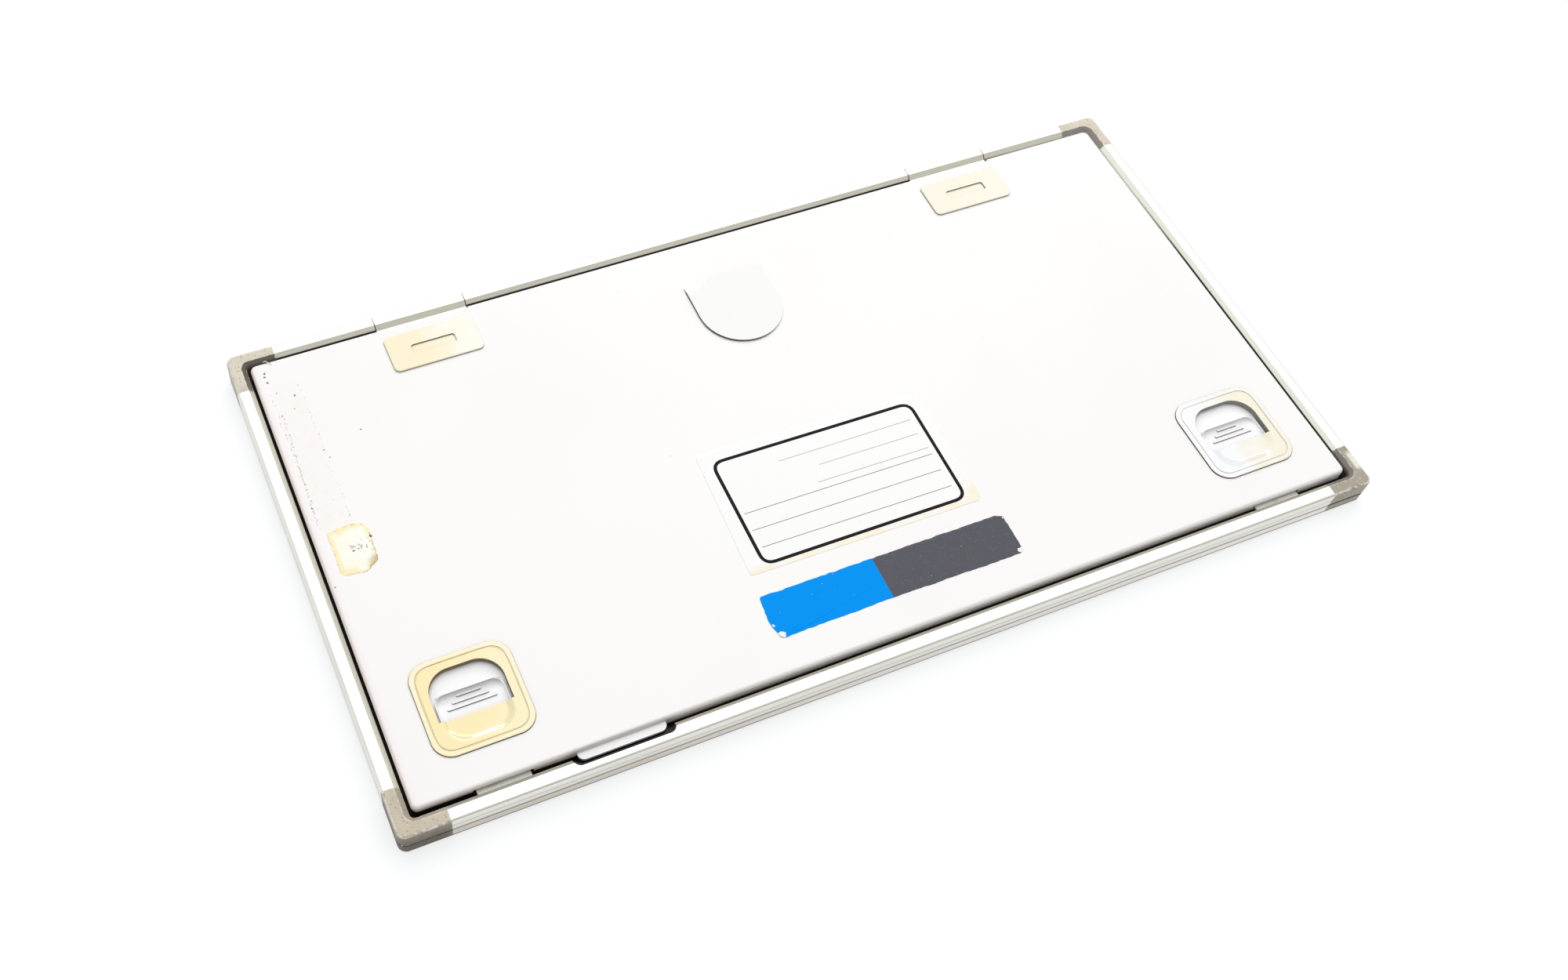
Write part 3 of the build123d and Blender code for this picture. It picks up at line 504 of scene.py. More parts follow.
def lidEnamel(name, look):
    paint = Paint(name, look, Specular_IOR_Level=0.45)
    x, y, z = axes(paint.tree)
    facing = axes(paint.tree, "Normal")
    peel = paint.effect("grain", Scale=1100, Detail=2)
    fine = paint.effect("grain", Scale=5200, Detail=2)
    warm = paint.effect("clouds", Scale=9, Low=0.42, High=0.68)
    dirt = paint.effect("grime", Reach=1.1 * mm, Low=0.38, High=0.80, Scale=300)
    chips = paint.effect("specks", Scale=85, Size=0.022, Share=0.30)
    dots = paint.effect("specks", Scale=420, Size=0.13, Share=0.16)
    # pull the ghost's sides about a little, so that they aren't ruled lines
    wobble = (paint.effect("grain", Scale=160, Detail=5) - 0.5) * 0.004
    ghostX, ghostY = x + wobble, y + wobble
    (left, right), (near, far) = look["ghostSides"], look["ghostEnds"]
    inside = (ramp(ghostX, left, left + 0.0008) * ramp(ghostX, right, right - 0.0008)
              * ramp(ghostY, near, near + 0.0008) * ramp(ghostY, far, far - 0.0008))
    mottle = paint.effect("clouds", Scale=330, Low=0.40, High=0.66)
    ghost = inside * ramp(mottle, 0.0, 1.0, 0.12, 0.75)
    # a broken line of glue along both sides
    glue = ramp(abs(ghostX - left), 0.30 * mm, 0.12 * mm) | ramp(abs(ghostX - right), 0.30 * mm, 0.12 * mm)
    glue *= paint.effect("clouds", Scale=650, Low=0.50, High=0.60)
    glue *= ramp(y, near - 0.001, near) * ramp(y, far, far - 0.01) * ramp(x, -0.198, -0.192, 0.55, 0.22)
    # the bend takes a warm tint, part dirt and part painted shade, strongest at the near left; painted
    # shade lies lower down on the flange
    bent = ramp(z, lidTop - 0.04 * mm, lidTop - 0.5 * mm) * ramp(x, 0.02, -0.17, 0.25, 0.85)
    soot = ramp(lidTop - z - ramp(x, -0.19, -0.12, 2.4 * mm, 4.5 * mm), 0.0, 1.2 * mm)
    # painted shade on the pressing's upright wall and round its foot, darkest at the foot of the D and
    # fading towards the right
    upright = ramp(facing[2], 0.92, 0.72) * ramp(facing[0], 0.85, -0.10, 0.15, 0.9)
    upright *= z > lidTop + 0.02 * mm
    foot = (abs(x) < look["pressingReach"]) * (abs(y - look["pressingMiddle"]) < look["pressingReach"])
    foot *= paint.effect("grime", Reach=0.8 * mm, Low=0.18, High=0.45, Scale=300)
    paint.lay(warmColour=warm * 0.6, pressedColour=ramp(z, lidTop + 0.7 * mm, lidTop + 0.95 * mm),
              wallColour=upright)
    paint.lay(wallColour=foot * ramp(x, -2 * mm, 16 * mm, 0.85, 0.15), ghostColour=ghost,
              speckColour=inside * dots * 0.45)
    # painted shade: a pink band along the lid's left rounded edge
    paint.lay(speckColour=glue, pinkColour=ramp(x, -0.2018, -0.2046, 0.0, 0.8))
    paint.lay(speckColour=chips * 0.8, edgeColour=bent,
              leftEdgeColour=bent * ramp(x, -0.19, -0.205) * 0.8,
              grimeColour=dirt * 0.75, sootColour=soot)
    return paint.finish(span(peel, 0.36, 0.46) + ghost * 0.15,
                        (peel * 0.7 + fine * 0.3 + chips, 0.03 * mm, 0.35))


lidPaint = lidEnamel("lidEnamel", lidLook)


# Hinge caps and latch bezels: aged ivory plastic, each with its own yellowing

ivoryLooks = {
    "hinge_cap_left": {"colour": (0.865, 0.775, 0.515), "secondColour": (0.880, 0.850, 0.730),
                       "wallColour": (0.012, 0.010, 0.006), "dirtFrom": 0.24},
    "hinge_cap_right": {"colour": (0.825, 0.775, 0.630), "secondColour": (0.840, 0.795, 0.655),
                        "wallColour": (0.030, 0.025, 0.014), "dirtFrom": 0.34},
    "latch_bezel_left": {"colour": (0.900, 0.755, 0.375), "secondColour": (0.900, 0.795, 0.470),
                         "wallColour": (0.110, 0.074, 0.028), "dirtFrom": 0.36,
                         "lineColour": (0.420, 0.300, 0.110), "rimColour": (0.915, 0.835, 0.560),
                         "rimLeft": 0.9, "rimFront": 0.75, "line": 0.60},    # how much is left of them
    "latch_bezel_right": {"colour": (0.840, 0.840, 0.850), "secondColour": (0.815, 0.770, 0.600),
                          "wallColour": (0.210, 0.215, 0.180), "dirtFrom": 0.40,
                          "lineColour": (0.480, 0.450, 0.370), "rimColour": (0.835, 0.825, 0.760),
                          "rimLeft": 0.15, "rimFront": 0.2, "line": 0.35},
}
ivoryShared = {
    "dirtColour": (0.055, 0.034, 0.012),
    "rimReach": 18.25 * mm,     # from a bezel's middle to its fine line
    "rimPower": 5.0,            # how square the line's rounded square is
    "wallShare": 0.85,          # the walls of windows and slots lie inside this part of the piece
    "footHeight": 0.44 * mm,    # of the painted shade line where the piece meets the lid
    "bezelFootHeight": 0.60 * mm,
}


def ivoryPlastic(name, look):
    low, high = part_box(name)
    middle, half = (low + high) / 2, (high - low) / 2
    paint = Paint(name.replace("_", "") + "Ivory", look, Specular_IOR_Level=0.6, Coat_Roughness=0.05)
    x, y, z = axes(paint.tree)
    up = axes(paint.tree, "Normal")[2]
    right, far = x - middle.x, y - middle.y
    share = abs(right) / half.x | abs(far) / half.y
    patches = paint.effect("clouds", Scale=60, Low=0.35, High=0.7)
    fine = paint.effect("grain", Scale=2600, Detail=3)
    dirtFrom = look["dirtFrom"]
    dirt = paint.effect("grime", Reach=0.9 * mm, Low=dirtFrom, High=dirtFrom + 0.45, Scale=350)
    scuffs = paint.effect("grain", Stretch=(1.0, 0.12, 1.0), Scale=900, Detail=4)
    # the second colour comes in towards the right, with cloudy borders
    paint.lay(secondColour=ramp(right + (patches - 0.5) * 0.010, -6.0 * mm, 11.0 * mm))
    foot, footTop = share > look["wallShare"], lidTop + look["footHeight"]
    if "rimColour" in look:
        reach = (abs(right) ** look["rimPower"] + abs(far) ** look["rimPower"]) ** (1 / look["rimPower"])
        foot, footTop = reach > look["rimReach"] + 0.9 * mm, lidTop + look["bezelFootHeight"]
        left = ramp(right, -14 * mm, 10 * mm, look["rimLeft"], 0.9)
        left *= ramp(far, -14 * mm, -4 * mm, look["rimFront"], 1.0)
        line = ramp(abs(reach - look["rimReach"]), 0.30 * mm, 0.10 * mm, 0.0, look["line"])
        paint.lay(rimColour=ramp(reach, look["rimReach"], look["rimReach"] + 0.4 * mm) * left,
                  lineColour=line * left)
    # painted shade darkens the upright walls of the window or slot
    wall = ramp(up, 0.6, 0.3) * (share < look["wallShare"])
    # painted shade: a dark line at the foot where the piece meets the lid
    dirt = dirt * 0.8 | ramp(z, footTop, footTop - 0.1 * mm) * foot
    paint.lay(wallColour=wall * 0.9, dirtColour=dirt)
    dull = dirt | wall
    return paint.finish(span(scuffs, 0.08, 0.18) | dull * 0.8, (fine + scuffs, 0.02 * mm, 0.2),
                        Coat_Weight=ramp(dull, 0.0, 0.6, 0.6, 0.0))


ivoryPaints = {name: ivoryPlastic(name, {**ivoryShared, **look}) for name, look in ivoryLooks.items()}


# Latch slides and the lift tab: white plastic, with painted shade in the dish

whiteLooks = {
    "slidePlastic": {"colour": (0.955, 0.950, 0.955), "dirtShare": 0.4},
    "tabPlastic": {"colour": (1.0, 1.0, 1.0), "dirtShare": 0.0},
}
whiteShared = {
    "dirtColour": (0.085, 0.080, 0.080),
    "scuffColour": (0.60, 0.60, 0.63),
    # painted shade in the dish
    "dustColour": (0.50, 0.48, 0.48),
    "dishBack": -65.6 * mm,     # y of the dish's rear edge
    "dishReach": 5.0 * mm,
    "dishHalfWidth": 13.3 * mm,
    "dishMiddle": sum(corner.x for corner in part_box("latch_slide_right")) / 2,
    "ridges": (-76.2 * mm, -67.3 * mm),     # they lie between these y
}


def whitePlastic(name, look):
    paint = Paint(name, look, Specular_IOR_Level=0.5)
    fine = paint.effect("grain", Scale=2400, Detail=3)
    scuffs = paint.effect("grain", Stretch=(0.08, 1.0, 1.0), Scale=1700, Detail=4)
    dirt = paint.effect("grime", Reach=2.0 * mm, Low=0.22, High=0.70, Scale=320)
    spots = paint.effect("specks", Scale=420, Size=0.06, Share=0.16)
    x, y, z = axes(paint.tree)
    beside = abs(abs(x) - look["dishMiddle"])
    # painted shade in the dish, darkest at its rear edge and fading forwards
    dust = ramp(y, look["dishBack"] - look["dishReach"], look["dishBack"]) * (y < look["dishBack"])
    dust *= ramp(beside, look["dishHalfWidth"], look["dishHalfWidth"] - 1.2 * mm)
    dust *= ramp(x, -0.1, 0.1, 1.0, 0.6)    # lighter in the right one
    paint.lay(scuffColour=ramp(scuffs, 0.60, 0.75) * 0.22, dirtColour=spots * 0.5,
              dustColour=dust * 0.75)
    # painted shade on the near flanks and at the feet of the dish's ridges
    near, far = look["ridges"]
    ridges = (y > near) * (y < far)
    flank = ramp(axes(paint.tree, "Normal")[1], -0.25, -0.6) * ridges * (beside < 11 * mm)
    foot = paint.effect("grime", Reach=0.9 * mm, Low=0.10, High=0.42, Scale=320) * ridges
    foot *= beside < 10.4 * mm
    paint.lay(dirtColour=((flank | foot * 0.8) * 2.2 | dirt) * look["dirtShare"])
    return paint.finish(span(fine, 0.28, 0.42), (fine + scuffs, 0.02 * mm, 0.3))


slidePaint, tabPaint = (whitePlastic(name, {**whiteShared, **look}) for name, look in whiteLooks.items())


# Bolts, guides, springs, pins and screws: steel with a brushed grain

steelLooks = {
    "boltSteel": {"colour": (0.82, 0.81, 0.75), "streakColour": (0.7216, 0.7128, 0.66),
                  "stainColour": (0.5904, 0.5832, 0.54), "stretch": (1.0, 0.03, 1.0),
                  "roughness": (0.48, 0.66), "metal": 0.2},
    "fittingSteel": {"colour": (0.60, 0.60, 0.60), "streakColour": (0.528, 0.528, 0.528),
                     "stainColour": (0.432, 0.432, 0.432), "stretch": (1.0, 1.0, 0.05),
                     "roughness": (0.28, 0.42), "metal": 1.0},
}
steelShared = {"wornColour": (0.8, 0.79, 0.77), "dirtColour": (0.05, 0.045, 0.04)}


def brushedSteel(name, look):
    paint = Paint(name, look)
    brush = paint.effect("grain", Stretch=look["stretch"], Scale=4200, Detail=3)
    stain = paint.effect("clouds", Scale=240, Low=0.5, High=0.75)
    dirt = paint.effect("grime", Reach=0.8 * mm, Low=0.35, High=0.9, Scale=400)
    wear = paint.effect("edgeWear", Radius=0.2 * mm, Gain=4, Scale=900)
    paint.lay(streakColour=ramp(brush, 0.3, 0.7), stainColour=stain * 0.5,
              wornColour=wear * 0.5, dirtColour=dirt * 0.7)
    return paint.finish(span(brush, *look["roughness"]), (brush, 0.02 * mm, 0.4),
                        Metallic=ramp(dirt, 0.0, 1.0, look["metal"], 0.3))


bolt, fitting = (brushedSteel(name, {**steelShared, **look}) for name, look in steelLooks.items())


# Inside and underside: tube panel, screens, lead, plate, foam and felt

insideLooks = {
    "tubePanel": {"colour": (0.115, 0.125, 0.14), "pale": (0.19, 0.2, 0.215), "worn": (0.36, 0.36, 0.37)},
    "screenCoat": {"colour": (0.905, 0.895, 0.86), "edge": (0.86, 0.8, 0.64), "dust": (0.25, 0.23, 0.2)},
    "leadFoil": {"colour": (0.235, 0.240, 0.255), "pale": (0.420, 0.425, 0.440)},
    "pressurePlate": {"colour": (0.028, 0.028, 0.03), "dust": (0.12, 0.115, 0.11),
                      "worn": (0.34, 0.33, 0.32)},
    "pressureFoam": {"colour": (0.06, 0.062, 0.068), "pale": (0.095, 0.095, 0.1),
                     "pore": (0.018, 0.018, 0.02)},
    "sealFelt": {"colour": (0.02, 0.02, 0.022), "fibre": (0.075, 0.075, 0.08), "lint": (0.3, 0.29, 0.28)},
}


def panelPaint(name, look):
    paint = Paint(name, look, Specular_IOR_Level=0.5)
    leather = paint.effect("grain", Scale=1500, Detail=5)
    rub = paint.effect("clouds", Scale=14, Low=0.5, High=0.72)
    scratches = paint.effect("grain", Stretch=(0.02, 1.0, 1.0), Scale=1300, Detail=3)
    wear = paint.effect("edgeWear", Radius=0.4 * mm, Gain=5, Scale=350)
    paint.lay(pale=rub * 0.35, worn=(wear | ramp(scratches, 0.66, 0.76) * rub) * 0.6)
    return paint.finish(span(leather, 0.36, 0.58), (leather, 0.08 * mm, 0.5))


def screenPaint(name, look):
    paint = Paint(name, look, Specular_IOR_Level=0.35, Sheen_Weight=0.08)
    x, y, z = axes(paint.tree)
    fine = paint.effect("grain", Scale=3800, Detail=3)
    stain = paint.effect("clouds", Scale=26, Low=0.5, High=0.8)
    dust = paint.effect("specks", Scale=150, Size=0.03, Share=0.2)
    low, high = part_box("front_screen")
    edge = ramp(abs(x), high.x - 7 * mm, high.x) | ramp(abs(y), high.y - 7 * mm, high.y)
    paint.lay(edge=(edge | stain * 0.35) * 0.5, dust=dust * 0.6)
    return paint.finish(span(fine, 0.45, 0.58), (fine, 0.02 * mm, 0.25))


def leadPaint(name, look):
    paint = Paint(name, look, Metallic=0.85)
    crease = paint.effect("grain", Scale=240, Detail=6)
    bloom = paint.effect("clouds", Scale=120, Low=0.42, High=0.7)
    paint.lay(pale=bloom * 0.7)
    return paint.finish(ramp(bloom, 0.0, 1.0, 0.42, 0.68), (crease, 0.3 * mm, 0.6))


def platePaint(name, look):
    paint = Paint(name, look, Specular_IOR_Level=0.45)
    fine = paint.effect("grain", Scale=1400, Detail=4)
    wear = paint.effect("edgeWear", Radius=0.4 * mm, Gain=4, Scale=420)
    dust = paint.effect("clouds", Scale=18, Low=0.45, High=0.8)
    paint.lay(dust=dust * 0.25, worn=wear)
    return paint.finish(span(fine, 0.42, 0.62), (fine, 0.06 * mm, 0.5))


def foamPaint(name, look):
    paint = Paint(name, look, Specular_IOR_Level=0.2)
    pores = paint.effect("specks", Scale=1700, Size=0.55, Share=0.75)
    fine = paint.effect("grain", Scale=3000, Detail=3)
    patches = paint.effect("clouds", Scale=40, Low=0.4, High=0.7)
    paint.lay(pale=patches * 0.4, pore=pores)
    return paint.finish(span(fine, 0.85, 0.98), (fine - pores, 0.2 * mm, 0.7))


def feltPaint(name, look):
    paint = Paint(name, look, Specular_IOR_Level=0.15, Sheen_Weight=0.4, Sheen_Roughness=0.5)
    fibres = paint.effect("grain", Stretch=(0.5, 1.0, 1.0), Scale=4200, Detail=6)
    tufts = paint.effect("clouds", Scale=900, Low=0.4, High=0.65)
    lint = paint.effect("specks", Scale=420, Size=0.10, Share=0.2)
    paint.lay(fibre=ramp(fibres, 0.45, 0.7), lint=lint * 0.6)
    return paint.finish(ramp(tufts, 0.0, 1.0, 0.85, 1.0), (fibres + tufts, 0.3 * mm, 0.8))


insideMakers = (panelPaint, screenPaint, leadPaint, platePaint, foamPaint, feltPaint)
panel, screen, lead, plate, foam, felt = (
    makePaint(*item) for makePaint, item in zip(insideMakers, insideLooks.items()))

# first words of the node names, and the finish that each takes
finishes = {
    "rail_front": railAlongX, "rail_rear": railAlongX, "rail_left": railAlongY, "rail_right": railAlongY,
    "hinge_block": hingeMetal, "hinge_pin": fitting, "hinge_screws": fitting,
    "corner": cornerPaint, "lid_pan": lidPaint, "lift_tab": tabPaint, "latch_slide": slidePaint,
    "latch_bolt": bolt, "latch_screws": fitting, "latch_guide": fitting, "latch_spring": fitting,
    "tube_panel": panel, "front_screen": screen, "back_screen": screen, "lead_foil": lead,
    "pressure_plate": plate, "pressure_foam": foam, "seal": felt, **ivoryPaints,
}
for name, node in nodes.items():
    node.data.materials.clear()
    node.data.materials.append(next(paint for start, paint in finishes.items() if name.startswith(start)))
print("finishes done:", len(bpy.data.materials))


# Surfaces: grids of points worked out at once and handed to the mesh

def ringGrid(points, loop):
    # points[i, j] is point j of ring i. Every ring closes on itself and neighbouring rings are
    # joined by quads; loop joins the last ring to the first, otherwise fans close the two ends.
    rings, count = points.shape[:2]
    index = np.arange(rings * count).reshape(rings, count)
    verts = points.reshape(-1, 3)
    rows = np.vstack((index, index[:1])) if loop else index
    turned = np.roll(rows, -1, axis=1)
    quads = np.stack((rows[:-1], turned[:-1], turned[1:], rows[1:]), axis=-1).reshape(-1, 4)
    fans = np.empty((0, 3), int)
    if not loop:
        verts = np.vstack((verts, points[0].mean(axis=0), points[-1].mean(axis=0)))
        first, last = np.full(count, len(verts) - 2), np.full(count, len(verts) - 1)
        fans = np.vstack((np.stack((turned[0], index[0], first), axis=-1),
                          np.stack((index[-1], turned[-1], last), axis=-1)))
    triangles = np.vstack((quads[:, :3], quads[:, (0, 2, 3)], fans))
    a, b, c = (verts[triangles[:, k]] - verts[0] for k in range(3))
    if np.einsum("ij,ij->i", a, np.cross(b, c)).sum() < 0:      # the volume is negative: turn all faces
        quads, fans = quads[:, ::-1], fans[:, ::-1]
    return verts, quads, fans


def makePiece(name, grids, paint, body="lid", loop=False, rim=None):
    # joins closed surfaces into one object that rides on a body
    verts, faces = [], []
    for points in grids:
        shape, quads, fans = ringGrid(points, loop)
        faces += (quads + len(verts)).tolist() + (fans + len(verts)).tolist()
        verts += shape.tolist()
    mesh = bpy.data.meshes.new(name)
    mesh.from_pydata(verts, [], faces)
    mesh.polygons.foreach_set("use_smooth", np.ones(len(mesh.polygons), bool))
    if rim is not None:
        mesh.attributes.new("rim", "FLOAT", "POINT").data.foreach_set("value", rim.astype(np.float32))
    mesh.materials.append(paint)
    mesh.update()
    piece = placeInScene(name, mesh)
    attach(piece, body)
    return piece


def unit(vectors):
    return vectors / np.linalg.norm(vectors, axis=1)[:, None]


def pointsAlong(line, shares):
    # the points at these shares of a line's length
    run = np.append(0, np.cumsum(np.linalg.norm(np.diff(line, axis=0), axis=1)))
    return np.stack([np.interp(shares * run[-1], run, line[:, k]) for k in (0, 1)], axis=-1)


def roundedOutline(corners, radii, count, steps=6):
    # each corner of the polygon becomes a parabola arc: (1-s)^2 before + 2s(1-s) corner + s^2 after,
    # where before and after lie one radius from the corner; the points are at equal distances
    corners = np.asarray(corners, float)
    radii = np.broadcast_to(np.asarray(radii, float), len(corners))[:, None]
    back, ahead = (np.roll(corners, k, axis=0) - corners for k in (1, -1))
    before, after = corners + radii * unit(back), corners + radii * unit(ahead)
    s = np.linspace(0, 1, steps)[None, :, None]
    arcs = (1 - s) ** 2 * before[:, None] + 2 * s * (1 - s) * corners[:, None] + s ** 2 * after[:, None]
    line = arcs.reshape(-1, 2)
    return pointsAlong(np.vstack((line, line[:1])), np.linspace(0, 1, count, endpoint=False))


def smoothNoise(random, count, parts, reach):
    # the mean over each point's neighbours as far as reach on a closed line
    rough = random.normal(size=(count, parts))
    return sum(np.roll(rough, k, axis=0) for k in range(-reach, reach + 1)) / (2 * reach + 1)


def onLid(flat, level):
    # millimetres, with the level counted from the lid
    level = np.broadcast_to(level, flat.shape[:-1])[..., None] + lidTop / mm
    return np.concatenate((flat, level), axis=-1) * mm


def sheetShares(rings):
    # how far out each ring of a sheet lies, from its middle (0) to its edge (1) and back underneath
    return np.concatenate((np.linspace(0.12, 0.985, rings), [0.997, 1.0, 1.0, 0.5]))


def sheetOnLid(outline, look, rings=7):
    # a thin closed sheet: rings shrink from the outline to its middle on top, drop over the rounded
    # edge and come back below; curl lifts the edge near curlAt
    middle, share = outline.mean(axis=0), sheetShares(rings)[:, None]
    height = np.concatenate((np.full(rings, 1.0), [0.93, 0.72, 0.0, 0.0]))[:, None] * look["thickness"]
    flat = middle + share[..., None] * (outline - middle)
    if "curl" in look:
        away = np.linalg.norm(flat - look["curlAt"], axis=-1)
        height = height + look["curl"] * np.exp(-(away / look["curlReach"]) ** 2) * (share > 0.6)
    return onLid(flat, height)


def ribbon(path, width, base, closed=False):
    # a flat line of ink or print on a sheet: a four-sided profile carried along the path, square to it
    path = np.asarray(path, float)
    ahead = np.roll(path, -1, axis=0) - np.roll(path, 1, axis=0) if closed else np.gradient(path, axis=0)
    ahead = unit(ahead)
    side = np.stack((-ahead[:, 1], ahead[:, 0]), axis=-1)
    across = np.array([-0.5, -0.42, 0.42, 0.5]) * width
    lift = np.array([0.0, 1.0, 1.0, 0.0]) * printThickness + base
    return onLid(path[:, None] + across[:, None] * side[:, None], lift)


def twoTone(name, look):
    # one colour broken by a second where its fine grain is high
    paint = Paint(name, look, Specular_IOR_Level=look["specular"])
    fine = paint.effect("grain", Scale=look["scale"], Detail=look["detail"])
    paint.lay(secondColour=ramp(fine, *look["between"]))
    return paint.finish(span(fine, *look["roughness"]))


printThickness = 0.02       # mm


# Soft parts: the pressure foam and the four light seals, with rounded, slightly uneven edges

softLooks = {
    "pressure_foam": {"piece": "foamPad", "edge": 1.6, "corner": 3.0, "uneven": 0.25, "count": 900,
                      "slot": "foam", "fill": 0.9, "paint": foam, "body": "lid"},
    "seal_front": {"piece": "sealFront"}, "seal_rear": {"piece": "sealRear"},
    "seal_left": {"piece": "sealLeft"}, "seal_right": {"piece": "sealRight"},
}
sealShared = {"edge": 0.45, "corner": 0.6, "uneven": 0.10, "count": 1100,
              "slot": "seal_felt", "fill": 1.0, "paint": felt, "body": "frame"}


def softPad(low, high, look, random):
    # rings over the top, round the edge and under: at angle a the edge lies r(1 - cos a) inside the
    # outline and sin a of half the height above the middle; smoothed noise moves the edge inwards
    middle, half = np.array((low + high) / 2), np.array((high - low) / 2)
    across = half[:2] / mm
    outline = roundedOutline(across * [(1, 1), (-1, 1), (-1, -1), (1, -1)], look["corner"], look["count"])
    turn = np.radians(np.linspace(90, -90, 9))
    inset = look["edge"] * (1 - np.cos(turn))
    inset = np.concatenate(([0.9 * min(across)], inset, [0.9 * min(across)]))[:, None, None]
    inset = inset + look["uneven"] * np.clip(1 + smoothNoise(random, look["count"], 1, 3), 0, 2)
    height = np.concatenate(([1.0], np.sin(turn), [-1.0]))[:, None, None] * half[2]
    flat = outline * (1 - inset / across) * mm
    return np.concatenate((flat, np.broadcast_to(height, (*flat.shape[:2], 1))), axis=-1) + middle


random = np.random.default_rng(7)
for name, look in softLooks.items():
    look = {**sealShared, **look}
    grid = softPad(*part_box(name), look, random)
    pad = makePiece(look["piece"], [grid], look["paint"], look["body"])
    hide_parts(name)
print("soft parts done")


# Record sticker: white paper, browned along its lower edge, with a black frame and ruled lines

recordSticker = {
    "outline": [(-49.5, -1.2), (52.0, -4.8), (53.0, -58.9), (51.7, -62.5), (-52.0, -61.3)],
    "radii": [1.2, 1.2, 3.0, 1.5, 1.0],
    "thickness": 0.12,
    "frame": [(-44.35, -7.25), (46.95, -8.65), (46.80, -59.10), (-44.45, -58.45)],
    "frameRadius": 4.9,
    "frameWidth": 1.5,
    "rules": [      # left end, right end, width
        ((-17.9, -15.9), (43.6, -16.5), 0.16), ((-2.9, -23.3), (43.3, -24.0), 0.16),
        ((-7.2, -31.0), (44.0, -31.8), 0.16), ((-42.1, -34.2), (44.0, -35.2), 0.24),
        ((-42.2, -42.5), (43.7, -43.5), 0.24), ((-42.1, -50.9), (43.8, -52.1), 0.24),
    ],
    "colour": (0.935, 0.930, 0.920),
    "agedColour": (0.930, 0.850, 0.660),
    "stainColour": (0.62, 0.40, 0.22),
    "ink": {"colour": (0.007, 0.006, 0.007), "secondColour": (0.10, 0.09, 0.09), "specular": 0.08,
            "scale": 2600.0, "detail": 5.0, "between": (0.66, 0.84), "roughness": (0.40, 0.60)},
}


def paperPaint(look):
    paint = Paint("stickerPaper", look, Specular_IOR_Level=0.4)
    x, y, z = axes(paint.tree)
    fibres = paint.effect("grain", Scale=1600, Detail=6)
    patches = paint.effect("clouds", Scale=75, Low=0.34, High=0.62)
    blots = paint.effect("clouds", Scale=300, Low=0.60, High=0.70)
    dots = paint.effect("specks", Scale=260, Size=0.09, Share=0.10)
    # browned along the lower edge and up the lower half of the right one
    beside = ramp(x, 46.5 * mm, 50.0 * mm) * ramp(y, -46.0 * mm, -56.0 * mm)
    aged = (ramp(y, -56.5 * mm, -61.5 * mm) | beside) * ramp(patches, 0.0, 1.0, 0.35, 1.0)
    # small brown stains near the middle of the third line
    stain = ramp(x, 8.0 * mm, 16.0 * mm) * ramp(x, 30.0 * mm, 22.0 * mm) * blots
    stain *= ramp(y, -34.0 * mm, -31.0 * mm) * ramp(y, -27.0 * mm, -30.0 * mm)
    paint.lay(agedColour=aged, stainColour=stain * 0.55)
    paint.lay(stainColour=dots * 0.4)
    return paint.finish(span(fibres, 0.34, 0.55), (fibres, 0.02 * mm, 0.3))


outline = roundedOutline(recordSticker["outline"], recordSticker["radii"], 160)
makePiece("recordSticker", [sheetOnLid(outline, recordSticker)], paperPaint(recordSticker))
ink, base = twoTone("printedInk", recordSticker["ink"]), recordSticker["thickness"]
path = roundedOutline(recordSticker["frame"], recordSticker["frameRadius"], 220, steps=12)
frameLine = ribbon(path, recordSticker["frameWidth"], base, closed=True)
makePiece("recordFrame", [frameLine], ink, loop=True)
rules = [ribbon(np.linspace(start, end, 12), width, base) for start, end, width in recordSticker["rules"]]
makePiece("recordRules", rules, ink)
print("record sticker done")


# Strip sticker: blue and slate halves, white paper showing where its corners are rubbed

stripSticker = {
    "outline": [(-52.8, -71.1), (-3.2, -71.2), (53.5, -71.3), (56.4, -73.0), (56.3, -90.1), (54.4, -90.7),
                (-3.3, -90.2), (-52.1, -90.7), (-54.2, -82.5)],
    "radii": [0.4, 0.1, 0.8, 0.5, 0.8, 0.4, 0.1, 1.2, 2.0],
    "thickness": 0.13,
    "raggedness": 0.16,
    "curl": 0.35,
    "curlAt": (-52.4, -90.2),
    "curlReach": 2.2,
    "seam": -3.25,
    "blueColour": (0.0, 0.300, 0.900),
    "blueSpeck": (0.01, 0.36, 0.95),
    "slateColour": (0.110, 0.108, 0.127),
    "slateSpeck": (0.30, 0.30, 0.33),
    "paperColour": (0.90, 0.90, 0.90),
    "rubbedPlaces": [(-51.5, -89.6, 2.9), (55.4, -89.3, 2.8), (-53.2, -84.5, 1.9), (56.0, -73.3, 1.8)],
    "tornDepth": 3.2,           # how far noise moves the border of a rubbed place
}


